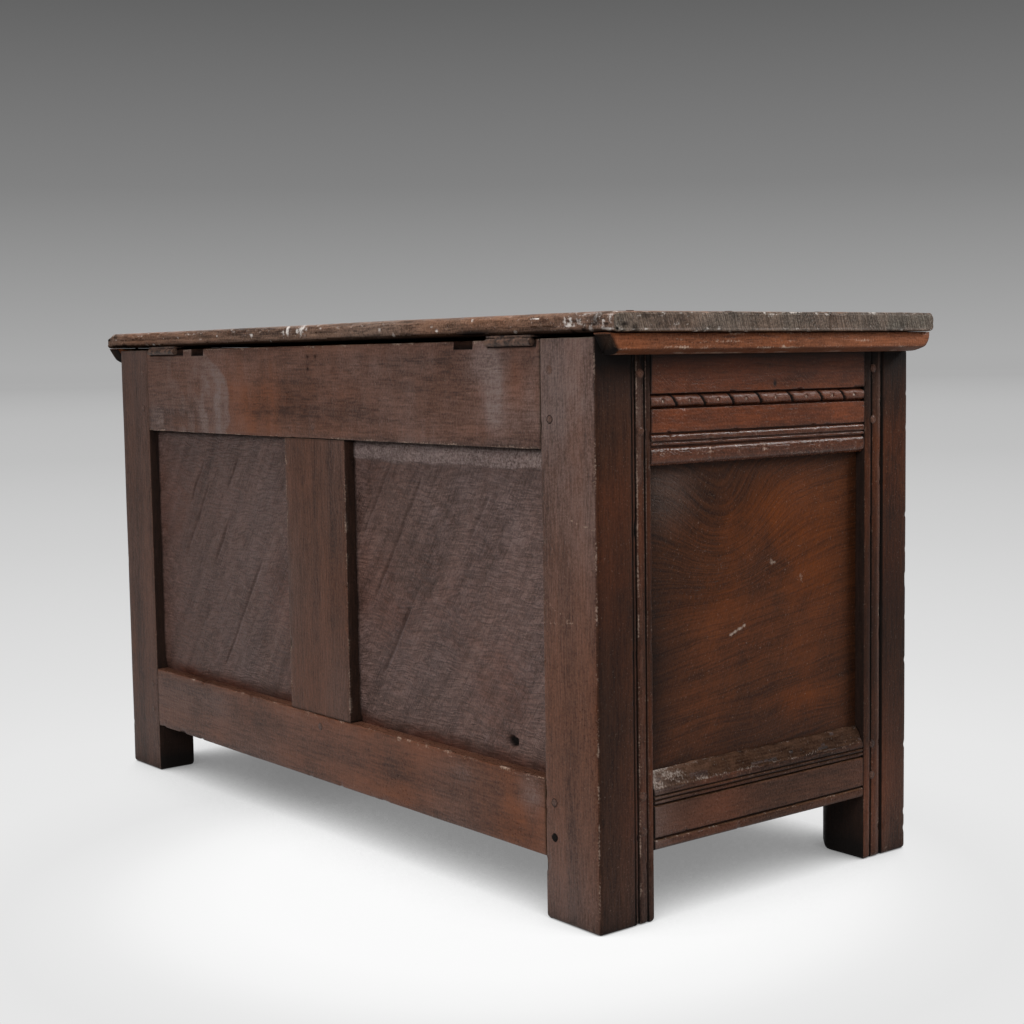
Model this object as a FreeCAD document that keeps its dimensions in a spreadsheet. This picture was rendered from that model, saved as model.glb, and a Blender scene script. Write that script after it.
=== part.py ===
"""Joined oak mule chest: a pegged frame-and-panel carcass, a hinged board lid and one side-hung drawer.

Millimetres, +Z up. X runs along the chest, the front looks to -Y and the hinged back to +Y. The origin is
the middle of the box around the whole chest, on the floor.
"""
import FreeCAD, Part
import os
import re
import Sketcher

# Driving sizes. Heights are measured from the floor or from the edge that the words name.
SIZES = {
    # Carcass
    "carcass_length": 1032,
    "carcass_depth": 480,
    "carcass_height": 600,
    # Stiles: riven posts with the inner corner left waney
    "stile_face": 84,
    "stile_end": 76,
    "back_stile_side": 54,
    "back_stile_flank": 40,
    "front_stile_side": 50,
    "front_stile_flank": 58,
    "stile_bead_set_in": 10,
    "stile_bead_width": 10,
    "stile_quirk_width": 3,
    "stile_quirk_depth": 3,
    # Mortise and tenon joints, and the pegs that draw them up
    "frame_thickness": 30,
    "tenon_set_in": 12.5,
    "tenon_thickness": 9,
    "tenon_length": 45,
    "tenon_shoulder": 8,
    "muntin_tenon_length": 30,
    "peg_diameter": 8,
    "peg_length": 30,
    "peg_set_in": 15,
    "peg_clearance": 0.1,
    # Feather-edged panels loose in their grooves
    "panel_tongue": 8,
    "panel_field": 16,
    "panel_bevel": 42,
    "panel_margin": 2,
    "panel_slack": 0.15,
    "groove_depth": 10,
    "groove_room": 2,
    # Back frame
    "back_rail_height": 113,
    "back_sill_rise": 65,
    "back_sill_height": 83,
    "back_muntin_width": 136,
    # End frames and their run mouldings
    "end_rail_height": 130.5,
    "end_sill_rise": 74,
    "end_sill_height": 83,
    "cable_drop": 58.5,
    "cable_width": 13,
    "cable_sink": 6,
    "run_height": 33,
    "run_fillet": 10,
    "run_ease": 6,
    "quirk_width": 4,
    "quirk_depth": 3,
    "sill_chamfer_height": 18.5,
    "sill_chamfer_depth": 10,
    "sill_fillet": 15,
    "sill_bead": 10,
    # Front frame
    "front_rail_height": 117,
    "front_muntin_width": 80,
    "mid_rail_height": 38,
    "front_sill_rise": 74,
    "front_sill_height": 41,
    "drawer_opening": 117,
    # Chest floor
    "floor_thickness": 14,
    "floor_rise": 8,
    "floor_groove": 8,
    "floor_slack": 0.3,
    "ledger_height": 18,
    "ledger_width": 20,
    # Drawer
    "drawer_rear_room": 50,
    "drawer_gap": 1.5,
    "drawer_front_thickness": 24,
    "drawer_side_thickness": 20,
    "drawer_back_thickness": 14,
    "drawer_bottom_thickness": 9,
    "drawer_side_drop": 6,
    "bearer_height": 15,
    "bearer_width": 10,
    "bearer_clearance": 0.3,
    "bearer_rise": 58,
    "knob_diameter": 36,
    "knob_neck_diameter": 18,
    "knob_projection": 30,
    "knob_neck": 9,
    "knob_dowel_diameter": 12,
    # Lid
    "lid_gap": 4,
    "lid_seat": 0.3,
    "lid_thickness": 21.5,
    "lid_end_overhang": 34,
    "lid_back_overhang": 5,
    "lid_front_overhang": 4,
    "lid_front_board": 178,
    "lid_ease": 6,
    "cleat_clearance": 1.5,
    "cleat_width": 26.5,
    "cleat_height": 22,
    "cleat_chamfer_height": 5,
    "cleat_chamfer_width": 11,
    "cleat_end_slant": 9,
    # Butt hinges
    "hinge_length": 74,
    "hinge_set_in": 11,
    "pivot_drop": 3,
    "pivot_back": 0.5,
    "knuckle_diameter": 8.4,
    "knuckle_gap": 0.3,
    "pin_diameter": 4,
    "pin_clearance": 0.05,
    "leaf_thickness": 2.2,
    "leaf_width": 26,
    "hinge_room": 0.6,
    # Screws and nails
    "screw_length": 16,
    "screw_diameter": 4,
    "screw_head_diameter": 7,
    "nail_length": 32,
    "nail_diameter": 4,
    "nail_head_diameter": 8,
    "nail_head_height": 1.5,
    "nail_clearance": 0.1,
    "overrun": 5,
}

# Sizes worked out from the driving ones, each a formula in their names.
DERIVED = {
    "half_length": "carcass_length / 2",
    "setback": "(knob_projection - lid_back_overhang) / 2",
    "front_plane": "setback - carcass_depth / 2",
    "back_plane": "setback + carcass_depth / 2",
    "lid_under": "carcass_height + lid_gap",
    "lid_top": "lid_under + lid_thickness",
    "front_height": "lid_under - lid_seat",
    "long_run": "half_length - stile_face",
    "end_run": "carcass_depth / 2 - stile_end",
    "tenon_inner": "tenon_set_in + tenon_thickness",
    "tongue_inner": "tenon_set_in + panel_tongue",
    "tongue_reach": "groove_depth - groove_room",
    "back_rail_low": "carcass_height - back_rail_height",
    "back_sill_high": "back_sill_rise + back_sill_height",
    "end_rail_low": "carcass_height - end_rail_height",
    "end_sill_high": "end_sill_rise + end_sill_height",
    "cable_high": "carcass_height - cable_drop",
    "cable_low": "cable_high - cable_width",
    "run_high": "end_rail_low + run_height",
    "sill_shoulder": "end_sill_high - sill_chamfer_height",
    "front_rail_low": "front_height - front_rail_height",
    "front_sill_high": "front_sill_rise + front_sill_height",
    "mid_rail_low": "front_sill_high + drawer_opening",
    "mid_rail_high": "mid_rail_low + mid_rail_height",
    "floor_low": "mid_rail_low + floor_rise",
    "floor_high": "floor_low + floor_thickness",
    "floor_end": "half_length - tenon_set_in - panel_field - floor_slack",
    "floor_front": "frame_thickness - floor_groove",
    "floor_back": "carcass_depth - frame_thickness - floor_slack",
    "ledger_low": "floor_low - ledger_height",
    "drawer_length": "carcass_depth - frame_thickness - drawer_rear_room",
    "drawer_half": "long_run - drawer_gap",
    "drawer_inner": "drawer_half - drawer_side_thickness",
    "drawer_low": "front_sill_high + drawer_gap",
    "drawer_high": "mid_rail_low - drawer_gap",
    "drawer_floor": "drawer_low + drawer_bottom_thickness",
    "drawer_side_high": "drawer_high - drawer_side_drop",
    "bearer_low": "drawer_low + bearer_rise",
    "bearer_high": "bearer_low + bearer_height",
    "bearer_face": "long_run - bearer_width",
    "lid_half": "half_length + lid_end_overhang",
    "lid_front": "front_plane - lid_front_overhang",
    "lid_joint": "lid_front + lid_front_board",
    "lid_back": "back_plane + lid_back_overhang",
    "cleat_near": "half_length + cleat_clearance",
    "cleat_far": "cleat_near + cleat_width",
    "cleat_low": "lid_under - cleat_height",
    "cleat_mid": "(cleat_near + cleat_far) / 2",
    "hinge_far": "long_run - hinge_set_in",
    "hinge_near": "hinge_far - hinge_length",
    "pivot_y": "back_plane + pivot_back",
    "pivot_z": "carcass_height - pivot_drop",
    "leaf_front": "pivot_y - leaf_width",
    "frame_leaf_low": "pivot_z - leaf_thickness / 2",
    "frame_leaf_high": "pivot_z + leaf_thickness / 2",
    "lid_leaf_low": "lid_under - leaf_thickness",
    "screw_cone": "(screw_head_diameter - screw_diameter) / 2",
}

PEG_HEIGHT_SHARES = (0.28, 0.72)
HINGE_SCREW_SHARES = (0.17, 0.5, 0.83)
LEAF_SCREW_SHARE = 0.4
LID_NAIL_SHARES = (0.08, 0.36, 0.64, 0.92)
FLOOR_BOARD_SHARES = (-1, -0.5, 0, 0.5, 1)
FLOOR_NAIL_SHARES = (0.3, 0.7)
KNOB_PLACE_SHARE = 0.55
KNOB_CROWN_SHARE = 0.55
FRONT_BAYS = 3
HINGE_KNUCKLES = 5

# Unit ways along the axes.
X_WAY = FreeCAD.Vector(1, 0, 0)
Y_WAY = FreeCAD.Vector(0, 1, 0)
Z_WAY = FreeCAD.Vector(0, 0, 1)


def turned(x_way, y_way, z_way):
    """The rotation that lays a piece's own three axes along the given ways."""
    return FreeCAD.Rotation(x_way, y_way, z_way, "ZXY")


# Each face of the carcass has its own run (to the right as one looks at it), depth (inwards) and height.
# An entry gives the face's rotation, and where a run and a depth lie in X and Y.
FACES = {
    "plan": (turned(X_WAY, Y_WAY, Z_WAY), "{run}", "{depth}"),
    "front": (turned(X_WAY, Y_WAY, Z_WAY), "{run}", "front_plane + ({depth})"),
    "right": (turned(Y_WAY, -X_WAY, Z_WAY), "half_length - ({depth})", "setback + ({run})"),
    "back": (turned(-X_WAY, -Y_WAY, Z_WAY), "-({run})", "back_plane - ({depth})"),
    "left": (turned(-Y_WAY, X_WAY, Z_WAY), "-half_length + ({depth})", "setback - ({run})"),
}

# The stiles that stand at the start and at the finish of each face's run.
FACE_STILES = {
    "front": ("stile_front_left", "stile_front_right"),
    "right": ("stile_front_right", "stile_back_right"),
    "back": ("stile_back_right", "stile_back_left"),
    "left": ("stile_back_left", "stile_front_left"),
}

# Ways to lay a piece whose own axis is Z: upright, downwards, into or out of a face, or along its run.
WAYS = {
    "up": turned(X_WAY, Y_WAY, Z_WAY),
    "down": turned(X_WAY, -Y_WAY, -Z_WAY),
    "in": turned(X_WAY, -Z_WAY, Y_WAY),
    "out": turned(X_WAY, Z_WAY, -Y_WAY),
    "along": turned(-Z_WAY, Y_WAY, X_WAY),
}

doc = FreeCAD.newDocument("mule_chest")
sheet = doc.addObject("Spreadsheet::Sheet", "Sizes")
for row, (alias, size) in enumerate(SIZES.items(), start=1):
    sheet.set(f"A{row}", alias)
    sheet.set(f"B{row}", str(size))
    sheet.setAlias(f"B{row}", alias)
doc.recompute()

sub_parts = {}
stile_cuts = {stile: [] for pair in FACE_STILES.values() for stile in pair}


def formula(words):
    """Spell a formula out: derived names become their own formulas, and sizes are read from the sheet."""
    def spell(match):
        name = match.group(0)
        if name in DERIVED:
            return f"({formula(DERIVED[name])})"
        return f"Sizes.{name}" if name in SIZES else name
    return re.sub(r"[A-Za-z_]\w*", spell, words)


def bind(piece, **sizes):
    for name, words in sizes.items():
        piece.setExpression(name, formula(words))


def stand(piece, face, run, depth, height, way="up"):
    """Turn a piece to its face of the carcass and tie its own origin to a run, a depth and a height."""
    turn, across, inward = FACES[face]
    piece.Placement = FreeCAD.Placement(FreeCAD.Vector(), turn.multiply(WAYS[way]))
    piece.setExpression("Placement.Base.x", formula(across.format(run=run, depth=depth)))
    piece.setExpression("Placement.Base.y", formula(inward.format(run=run, depth=depth)))
    piece.setExpression("Placement.Base.z", formula(height))


def block(label, face, run, depth, height):
    """A squared piece that fills a stretch of run, of depth and of height."""
    piece = doc.addObject("Part::Box", label)
    bind(piece, Length=f"{run[1]} - ({run[0]})", Width=f"{depth[1]} - ({depth[0]})",
         Height=f"{height[1]} - ({height[0]})")
    stand(piece, face, run[0], depth[0], height[0])
    return piece


def rod(label, face, way, start, diameter, length):
    """A round piece that goes the given way from its start: a run, a depth and a height."""
    piece = doc.addObject("Part::Cylinder", label)
    bind(piece, Radius=f"({diameter}) / 2", Height=length)
    stand(piece, face, *start, way)
    return piece


def join(label, pieces):
    result = doc.addObject("Part::MultiFuse", label)
    result.Shapes = pieces
    result.Refine = True
    return result


def cut(label, base, tools):
    result = doc.addObject("Part::Cut", label)
    result.Base = base
    result.Tool = tools[0] if len(tools) == 1 else join(f"{label}_tools", tools)
    result.Refine = True
    return result


def group(label, pieces):
    """Like fasteners, kept together as one group of separate solids."""
    result = doc.addObject("Part::Compound", label)
    result.Links = pieces
    return keep(label, result)


def keep(label, piece):
    piece.Label = label
    sub_parts[label] = piece
    return piece


def drawn_body(label, plane, corners):
    """A body with one closed outline on an origin plane, each corner tied to two formulas."""
    body = doc.addObject("PartDesign::Body", label)
    sketch = body.newObject("Sketcher::SketchObject", f"{label}_outline")
    sketch.AttachmentSupport = [(next(f for f in body.Origin.OriginFeatures if f.Role == plane), "")]
    sketch.MapMode = "FlatFace"
    points = [FreeCAD.Vector(*(sheet.evalExpression(formula(words)) for words in corner))
              for corner in corners]
    for start, end in zip(points, points[1:] + points[:1]):
        sketch.addGeometry(Part.LineSegment(start, end))
    for line, corner in enumerate(corners):
        before = line - 1 if line else len(corners) - 1
        sketch.addConstraint(Sketcher.Constraint("Coincident", before, 2, line, 1))
        for kind, words, place in zip(("DistanceX", "DistanceY"), corner, points[line]):
            index = sketch.addConstraint(Sketcher.Constraint(kind, -1, 1, line, 1, place))
            sketch.setExpression(f"Constraints[{index}]", formula(words))
    return body, sketch


def padded(label, plane, corners, length):
    body, sketch = drawn_body(label, plane, corners)
    pad = body.newObject("PartDesign::Pad", f"{label}_pad")
    pad.Profile = sketch
    bind(pad, Length=length)
    body.Tip = pad
    return body


def moulded(label, face, section, run):
    """A piece of one section, given as depths and heights, along a stretch of a face's run."""
    body = padded(label, "YZ_Plane", section, f"{run[1]} - ({run[0]})")
    stand(body, face, run[0], "0", "0")
    return body


def pegs_through(label, face, run, low, high):
    """Two pegs driven in from the face at one joint, and the holes that they fill."""
    driven, holes = [], []
    for number, share in enumerate(PEG_HEIGHT_SHARES, start=1):
        start = (run, "0", f"{low} + {share} * ({high} - ({low}))")
        driven.append(rod(f"{label}_peg_{number}", face, "in", start, "peg_diameter", "peg_length"))
        holes.append(rod(f"{label}_peg_hole_{number}", face, "in", start,
                         "peg_diameter + 2 * peg_clearance", "peg_length + peg_clearance"))
    return driven, holes


def panel(label, face, run, low, high):
    """A feather-edged panel: a thin tongue all round and a field raised on the inside. Returns its groove."""
    tongue = block(f"{label}_tongue", face,
                   (f"{run[0]} - tongue_reach", f"{run[1]} + tongue_reach"),
                   ("tenon_set_in", "tongue_inner"),
                   (f"{low} - tongue_reach", f"{high} + tongue_reach"))
    field = doc.addObject("Part::Wedge", f"{label}_field")
    bind(field, Ymin="0", Ymax="panel_field - panel_tongue",
         Xmin=f"{run[0]} + panel_margin", Xmax=f"{run[1]} - panel_margin",
         Zmin=f"{low} + panel_margin", Zmax=f"{high} - panel_margin",
         X2min=f"{run[0]} + panel_bevel", X2max=f"{run[1]} - panel_bevel",
         Z2min=f"{low} + panel_bevel", Z2max=f"{high} - panel_bevel")
    stand(field, face, "0", "tongue_inner", "0")
    keep(label, join(label, [tongue, field]))
    return block(f"{label}_groove", face,
                 (f"{run[0]} - groove_depth", f"{run[1]} + groove_depth"),
                 ("tenon_set_in - panel_slack", "tongue_inner + panel_slack"),
                 (f"{low} - groove_depth", f"{high} + groove_depth"))


def muntin(label, face, middle, width, low, high, grooves):
    """An upright tenoned into the rails below and above it. Returns its pegs and what cuts the rails."""
    sides = (f"{middle} - {width} / 2", f"{middle} + {width} / 2")
    stock = block(f"{label}_stock", face, sides, ("0", "frame_thickness"), (low, high))
    tenon = block(f"{label}_tenon", face, (f"{sides[0]} + tenon_shoulder", f"{sides[1]} - tenon_shoulder"),
                  ("tenon_set_in", "tenon_inner"),
                  (f"{low} - muntin_tenon_length", f"{high} + muntin_tenon_length"))
    driven, holes = [], []
    for end, height in (("head", f"{high} + peg_set_in"), ("foot", f"{low} - peg_set_in")):
        start = (middle, "0", height)
        driven.append(rod(f"{label}_{end}_peg", face, "in", start, "peg_diameter", "tenon_inner"))
        holes.append(rod(f"{label}_{end}_peg_hole", face, "in", start,
                         "peg_diameter + 2 * peg_clearance", "tenon_inner"))
    keep(label, cut(label, join(f"{label}_blank", [stock, tenon]), grooves + holes))
    return driven, [tenon] + holes


def rail(label, face, half_run, low, high, tools, section=None):
    """A rail between two stiles, tenoned and pegged into both. A section gives it run mouldings."""
    run = (f"-({half_run})", half_run)
    stock = (moulded(f"{label}_stock", face, section, run) if section
             else block(f"{label}_stock", face, run, ("0", "frame_thickness"), (low, high)))
    tenons, driven, holes = [], [], []
    ends = (("start", "-", FACE_STILES[face][0]), ("finish", "", FACE_STILES[face][1]))
    for end, sign, stile in ends:
        reach = (half_run, f"{half_run} + tenon_length")
        stretch = (f"-({reach[1]})", f"-({reach[0]})") if sign else reach
        tenon = block(f"{label}_{end}_tenon", face, stretch, ("tenon_set_in", "tenon_inner"),
                      (f"{low} + tenon_shoulder", f"{high} - tenon_shoulder"))
        peg_run = f"{sign}({half_run} + peg_set_in)"
        joint_pegs, joint_holes = pegs_through(f"{label}_{end}", face, peg_run, low, high)
        stile_cuts[stile] += [tenon] + joint_holes
        tenons.append(tenon)
        driven += joint_pegs
        holes += joint_holes
    keep(label, cut(label, join(f"{label}_blank", [stock] + tenons), holes + tools))
    return driven


def wire_nail(label, start):
    """A clout nail driven down from its start, head let in flush, and the hole it makes."""
    head = rod(f"{label}_head", "plan", "down", start, "nail_head_diameter", "nail_head_height")
    shank = rod(f"{label}_shank", "plan", "down", start, "nail_diameter", "nail_length")
    head_hole = rod(f"{label}_head_hole", "plan", "down", start,
                    "nail_head_diameter + 2 * nail_clearance", "nail_head_height + nail_clearance")
    shank_hole = rod(f"{label}_shank_hole", "plan", "down", start,
                     "nail_diameter + 2 * nail_clearance", "nail_length + nail_clearance")
    return join(label, [head, shank]), [head_hole, shank_hole]


def countersunk_screw(label, way, start):
    """A screw whose coned head is flush at its start, and the hole it makes."""
    pieces = []
    for name, room in ((label, "0"), (f"{label}_hole", "nail_clearance")):
        cone = doc.addObject("Part::Cone", f"{name}_cone")
        bind(cone, Radius1=f"screw_head_diameter / 2 + {room}", Radius2=f"screw_diameter / 2 + {room}",
             Height=f"screw_cone + {room}")
        stand(cone, "plan", *start, way)
        shank = rod(f"{name}_shank", "plan", way, start,
                    f"screw_diameter + 2 * {room}", f"screw_length + {room}")
        pieces.append(join(name, [cone, shank]))
    return pieces


def on_side(side, near, far):
    """The stretch of X between two distances from the middle, on the left or on the right."""
    return (near, far) if side == "right" else (f"-({far})", f"-({near})")


# Back frame: two wide rails, one muntin and two panels.
back_low, back_high = "back_sill_high", "back_rail_low"
back_bays = {
    "right": ("-(long_run)", "-(back_muntin_width / 2)"),
    "left": ("back_muntin_width / 2", "long_run"),
}
back_grooves = {side: panel(f"panel_back_{side}", "back", bay, back_low, back_high)
                for side, bay in back_bays.items()}
back_pegs, back_rail_tools = muntin("muntin_back", "back", "0", "back_muntin_width", back_low, back_high,
                                    list(back_grooves.values()))
back_rail_tools = back_rail_tools + list(back_grooves.values())
for side, stile in (("left", "stile_back_left"), ("right", "stile_back_right")):
    stile_cuts[stile].append(back_grooves[side])

# Butt hinges on the back rail: a frame leaf and its pin stay with the rail, and the other leaf lifts with
# the lid. The rail is cut down for the leaf and notched for the knuckles, which alternate along the pin.
hinge_mortises = []
screws = {"frame": [], "lid": []}
screw_holes = {"frame": [], "lid": []}
knuckle_length = f"hinge_length / {HINGE_KNUCKLES}"
for side in ("left", "right"):
    hinge = f"hinge_{side}"
    length = on_side(side, "hinge_near", "hinge_far")
    roomy = (f"{length[0]} - hinge_room", f"{length[1]} + hinge_room")
    hinge_mortises += [
        block(f"{hinge}_leaf_mortise", "plan", roomy, ("leaf_front - hinge_room", "pivot_y + overrun"),
              ("frame_leaf_low", "carcass_height + overrun")),
        block(f"{hinge}_knuckle_notch", "plan", roomy,
              ("pivot_y - knuckle_diameter / 2 - hinge_room", "pivot_y + overrun"),
              ("pivot_z - knuckle_diameter / 2 - hinge_room", "carcass_height + overrun")),
    ]
    frame_plate = block(f"{hinge}_frame_plate", "plan", length, ("leaf_front", "pivot_y"),
                        ("frame_leaf_low", "frame_leaf_high"))
    lid_plate = block(f"{hinge}_lid_plate", "plan", length, ("leaf_front", "pivot_y + leaf_thickness / 2"),
                      ("lid_leaf_low", "lid_under"))
    knuckles = {"frame": [], "lid": []}
    lid_knuckle_rooms = []
    for number in range(HINGE_KNUCKLES):
        owner = "lid" if number % 2 else "frame"
        first = f"{length[0]} + {number} * {knuckle_length}"
        stretch = (f"{first} + knuckle_gap / 2", f"{first} + {knuckle_length} - knuckle_gap / 2")
        knuckles[owner].append(rod(f"{hinge}_knuckle_{number}", "plan", "along",
                                   (stretch[0], "pivot_y", "pivot_z"),
                                   "knuckle_diameter", f"{knuckle_length} - knuckle_gap"))
        if owner == "lid":
            knuckles[owner].append(block(f"{hinge}_web_{number}", "plan", stretch,
                                         ("pivot_y - leaf_thickness / 2", "pivot_y + leaf_thickness / 2"),
                                         ("pivot_z", "lid_under")))
            lid_knuckle_rooms.append(block(
                f"{hinge}_room_{number}", "plan", (first, f"{first} + {knuckle_length}"),
                ("pivot_y - knuckle_diameter / 2 - knuckle_gap", "pivot_y + overrun"),
                ("pivot_z - overrun", "pivot_z + overrun")))
    leaf_stock = {
        "frame": [cut(f"{hinge}_frame_plate_cut", frame_plate, lid_knuckle_rooms)] + knuckles["frame"],
        "lid": [lid_plate] + knuckles["lid"],
    }
    bore = rod(f"{hinge}_bore", "plan", "along", (f"{length[0]} - overrun", "pivot_y", "pivot_z"),
               "pin_diameter + 2 * pin_clearance", "hinge_length + 2 * overrun")
    keep(f"{hinge}_pin", rod(f"{hinge}_pin", "plan", "along", (length[0], "pivot_y", "pivot_z"),
                             "pin_diameter", "hinge_length"))
    for owner, way, seat in (("frame", "down", "frame_leaf_high"), ("lid", "up", "lid_leaf_low")):
        holes = []
        for number, share in enumerate(HINGE_SCREW_SHARES, start=1):
            start = (f"{length[0]} + {share} * hinge_length",
                     f"leaf_front + {LEAF_SCREW_SHARE} * leaf_width", seat)
            screw, hole = countersunk_screw(f"{hinge}_{owner}_screw_{number}", way, start)
            screws[owner].append(screw)
            holes.append(hole)
        screw_holes[owner] += holes
        leaf = f"{hinge}_{owner}_leaf"
        keep(leaf, cut(leaf, join(f"{leaf}_blank", leaf_stock[owner]), [bore] + holes))
for owner in ("frame", "lid"):
    group(f"hinge_screws_{owner}", screws[owner])

back_pegs = back_pegs + rail("rail_back_top", "back", "long_run", "back_rail_low", "carcass_height",
                             back_rail_tools + hinge_mortises + screw_holes["frame"])
back_pegs = back_pegs + rail("rail_back_bottom", "back", "long_run", "back_sill_rise", "back_sill_high",
                             back_rail_tools)
group("pegs_back", back_pegs)

# End frames: a top rail with a cable bead and a run moulding, a weathered bottom rail, one panel.
TOP_SECTION = [
    ("0", "carcass_height"), ("0", "cable_high"), ("cable_sink", "cable_high"), ("cable_sink", "cable_low"),
    ("0", "cable_low"), ("0", "run_high"), ("quirk_depth", "run_high - quirk_width / 2"),
    ("0", "run_high - quirk_width"), ("0", "run_high - run_fillet"),
    ("quirk_depth", "run_high - run_fillet - quirk_width / 2"), ("0", "run_high - run_fillet - quirk_width"),
    ("0", "end_rail_low + run_ease"), ("run_ease", "end_rail_low"),
    ("frame_thickness", "end_rail_low"), ("frame_thickness", "carcass_height"),
]
SILL_SECTION = [
    ("sill_chamfer_depth", "end_sill_high"), ("0", "sill_shoulder"),
    ("0", "sill_shoulder - sill_fillet"), ("quirk_depth", "sill_shoulder - sill_fillet - quirk_width / 2"),
    ("0", "sill_shoulder - sill_fillet - quirk_width"), ("0", "end_sill_rise + sill_bead + quirk_width"),
    ("quirk_depth", "end_sill_rise + sill_bead + quirk_width / 2"), ("0", "end_sill_rise + sill_bead"),
    ("0", "end_sill_rise"), ("frame_thickness", "end_sill_rise"), ("frame_thickness", "end_sill_high"),
]
for face in ("left", "right"):
    groove = panel(f"panel_end_{face}", face, ("-(end_run)", "end_run"), "end_sill_high", "end_rail_low")
    for stile in FACE_STILES[face]:
        stile_cuts[stile].append(groove)
    end_pegs = rail(f"rail_end_{face}_bottom", face, "end_run", "end_sill_rise", "end_sill_high", [groove],
                    SILL_SECTION)
    end_pegs = end_pegs + rail(f"rail_end_{face}_top", face, "end_run", "end_rail_low", "carcass_height",
                               [groove], TOP_SECTION)
    plain = sub_parts[f"rail_end_{face}_top"]
    plain.Label = f"rail_end_{face}_top_plain"
    cable = rod(f"rail_end_{face}_cable", face, "along",
                ("-(end_run)", "cable_width / 2", "cable_high - cable_width / 2"),
                "cable_width", "2 * end_run")
    keep(f"rail_end_{face}_top", join(f"rail_end_{face}_top", [plain, cable]))
    group(f"pegs_{face}", end_pegs)
    for stile, sign in zip(FACE_STILES[face], ("-", "")):
        for name, near in (("inner", "stile_bead_set_in - stile_quirk_width"),
                           ("outer", "stile_bead_set_in + stile_bead_width")):
            reach = (f"end_run + {near}", f"end_run + {near} + stile_quirk_width")
            stretch = (f"-({reach[1]})", f"-({reach[0]})") if sign else reach
            stile_cuts[stile].append(block(f"{stile}_{name}_quirk", face, stretch,
                                           ("-(overrun)", "stile_quirk_depth"), ("-(overrun)", "lid_top")))

# Front frame: three panels over a middle rail, and the drawer's opening under it.
bay_width = f"(2 * long_run - {FRONT_BAYS - 1} * front_muntin_width) / {FRONT_BAYS}"
front_grooves = []
for bay in range(FRONT_BAYS):
    bay_start = f"-(long_run) + {bay} * ({bay_width} + front_muntin_width)"
    front_grooves.append(panel(f"panel_front_{bay + 1}", "front", (bay_start, f"{bay_start} + {bay_width}"),
                               "mid_rail_high", "front_rail_low"))
front_pegs, front_rail_tools = [], list(front_grooves)
for post in range(1, FRONT_BAYS):
    middle = f"-(long_run) + {post} * {bay_width} + {post - 0.5} * front_muntin_width"
    driven, tools = muntin(f"muntin_front_{post}", "front", middle, "front_muntin_width", "mid_rail_high",
                           "front_rail_low", front_grooves[post - 1:post + 1])
    front_pegs += driven
    front_rail_tools += tools
stile_cuts["stile_front_left"].append(front_grooves[0])
stile_cuts["stile_front_right"].append(front_grooves[-1])
floor_groove = block("floor_groove_cut", "front", ("-(long_run)", "long_run"),
                     ("floor_front - floor_slack", "frame_thickness + overrun"),
                     ("floor_low", "floor_high + floor_slack"))
front_pegs += rail("rail_front_top", "front", "long_run", "front_rail_low", "front_height", front_rail_tools)
front_pegs += rail("rail_front_middle", "front", "long_run", "mid_rail_low", "mid_rail_high",
                   front_rail_tools + [floor_groove])
front_pegs += rail("rail_front_bottom", "front", "long_run", "front_sill_rise", "front_sill_high", [])
group("pegs_front", front_pegs)

# Drawer bearers: battens nailed between the front and back stiles, which the grooved drawer sides hang on.
bearers = {
    side: block(f"drawer_bearer_{side}", "plan", on_side(side, "bearer_face", "long_run"),
                ("front_plane + drawer_front_thickness + drawer_gap", "back_plane - frame_thickness"),
                ("bearer_low", "bearer_high"))
    for side in ("left", "right")
}
for side, bearer in bearers.items():
    keep(f"drawer_bearer_{side}", bearer)

# Stiles: five-sided posts, mortised for the rails, grooved for the panels and beaded on the ends.
for place, inward, top in (("back", "-", "carcass_height"), ("front", "+", "front_height")):
    side, flank = f"{place}_stile_side", f"{place}_stile_flank"
    corners = (("0", "0"), ("stile_face", "0"), ("stile_face", side),
               (flank, "stile_end"), ("0", "stile_end"))
    for hand, x_sign in (("left", "-"), ("right", "")):
        label = f"stile_{place}_{hand}"
        plan = [(f"{x_sign}(half_length - {across})", f"{place}_plane {inward} {deep}")
                for across, deep in corners]
        post = padded(f"{label}_post", "XY_Plane", plan, top)
        keep(label, cut(label, post, stile_cuts[label]))

# Chest floor: boards from the middle rail's groove to a ledger at the back, end boards cut round the stiles.
ledger_back = block("floor_ledger_back", "back", ("-(long_run)", "long_run"),
                    ("frame_thickness", "frame_thickness + ledger_width"), ("ledger_low", "floor_low"))
ledger_nails = []
floor_nails = []
stile_rooms = []
for x_side in ("left", "right"):
    ends = on_side(x_side, "long_run - floor_slack", "half_length")
    stile_rooms.append(block(f"floor_room_front_{x_side}", "front", ends,
                             ("0", "stile_end + floor_slack"),
                             ("floor_low - overrun", "floor_high + overrun")))
    stile_rooms.append(block(f"floor_room_back_{x_side}", "plan", ends,
                             ("back_plane - stile_end - floor_slack", "back_plane"),
                             ("floor_low - overrun", "floor_high + overrun")))
for number, (start, end) in enumerate(zip(FLOOR_BOARD_SHARES, FLOOR_BOARD_SHARES[1:]), start=1):
    label = f"floor_board_{number}"
    board = block(f"{label}_stock", "front", (f"{start} * floor_end", f"{end} * floor_end"),
                  ("floor_front", "floor_back"), ("floor_low", "floor_high"))
    holes = []
    for spot, share in enumerate(FLOOR_NAIL_SHARES, start=1):
        place = (f"({start} + {share} * ({end} - ({start}))) * long_run",
                 "back_plane - frame_thickness - ledger_width / 2", "floor_high")
        nail, nail_holes = wire_nail(f"{label}_nail_{spot}", place)
        floor_nails.append(nail)
        holes += nail_holes
    ledger_nails += holes
    keep(label, cut(label, board, stile_rooms + holes))
keep("floor_ledger_back", cut("floor_ledger_back", ledger_back, ledger_nails))
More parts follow.
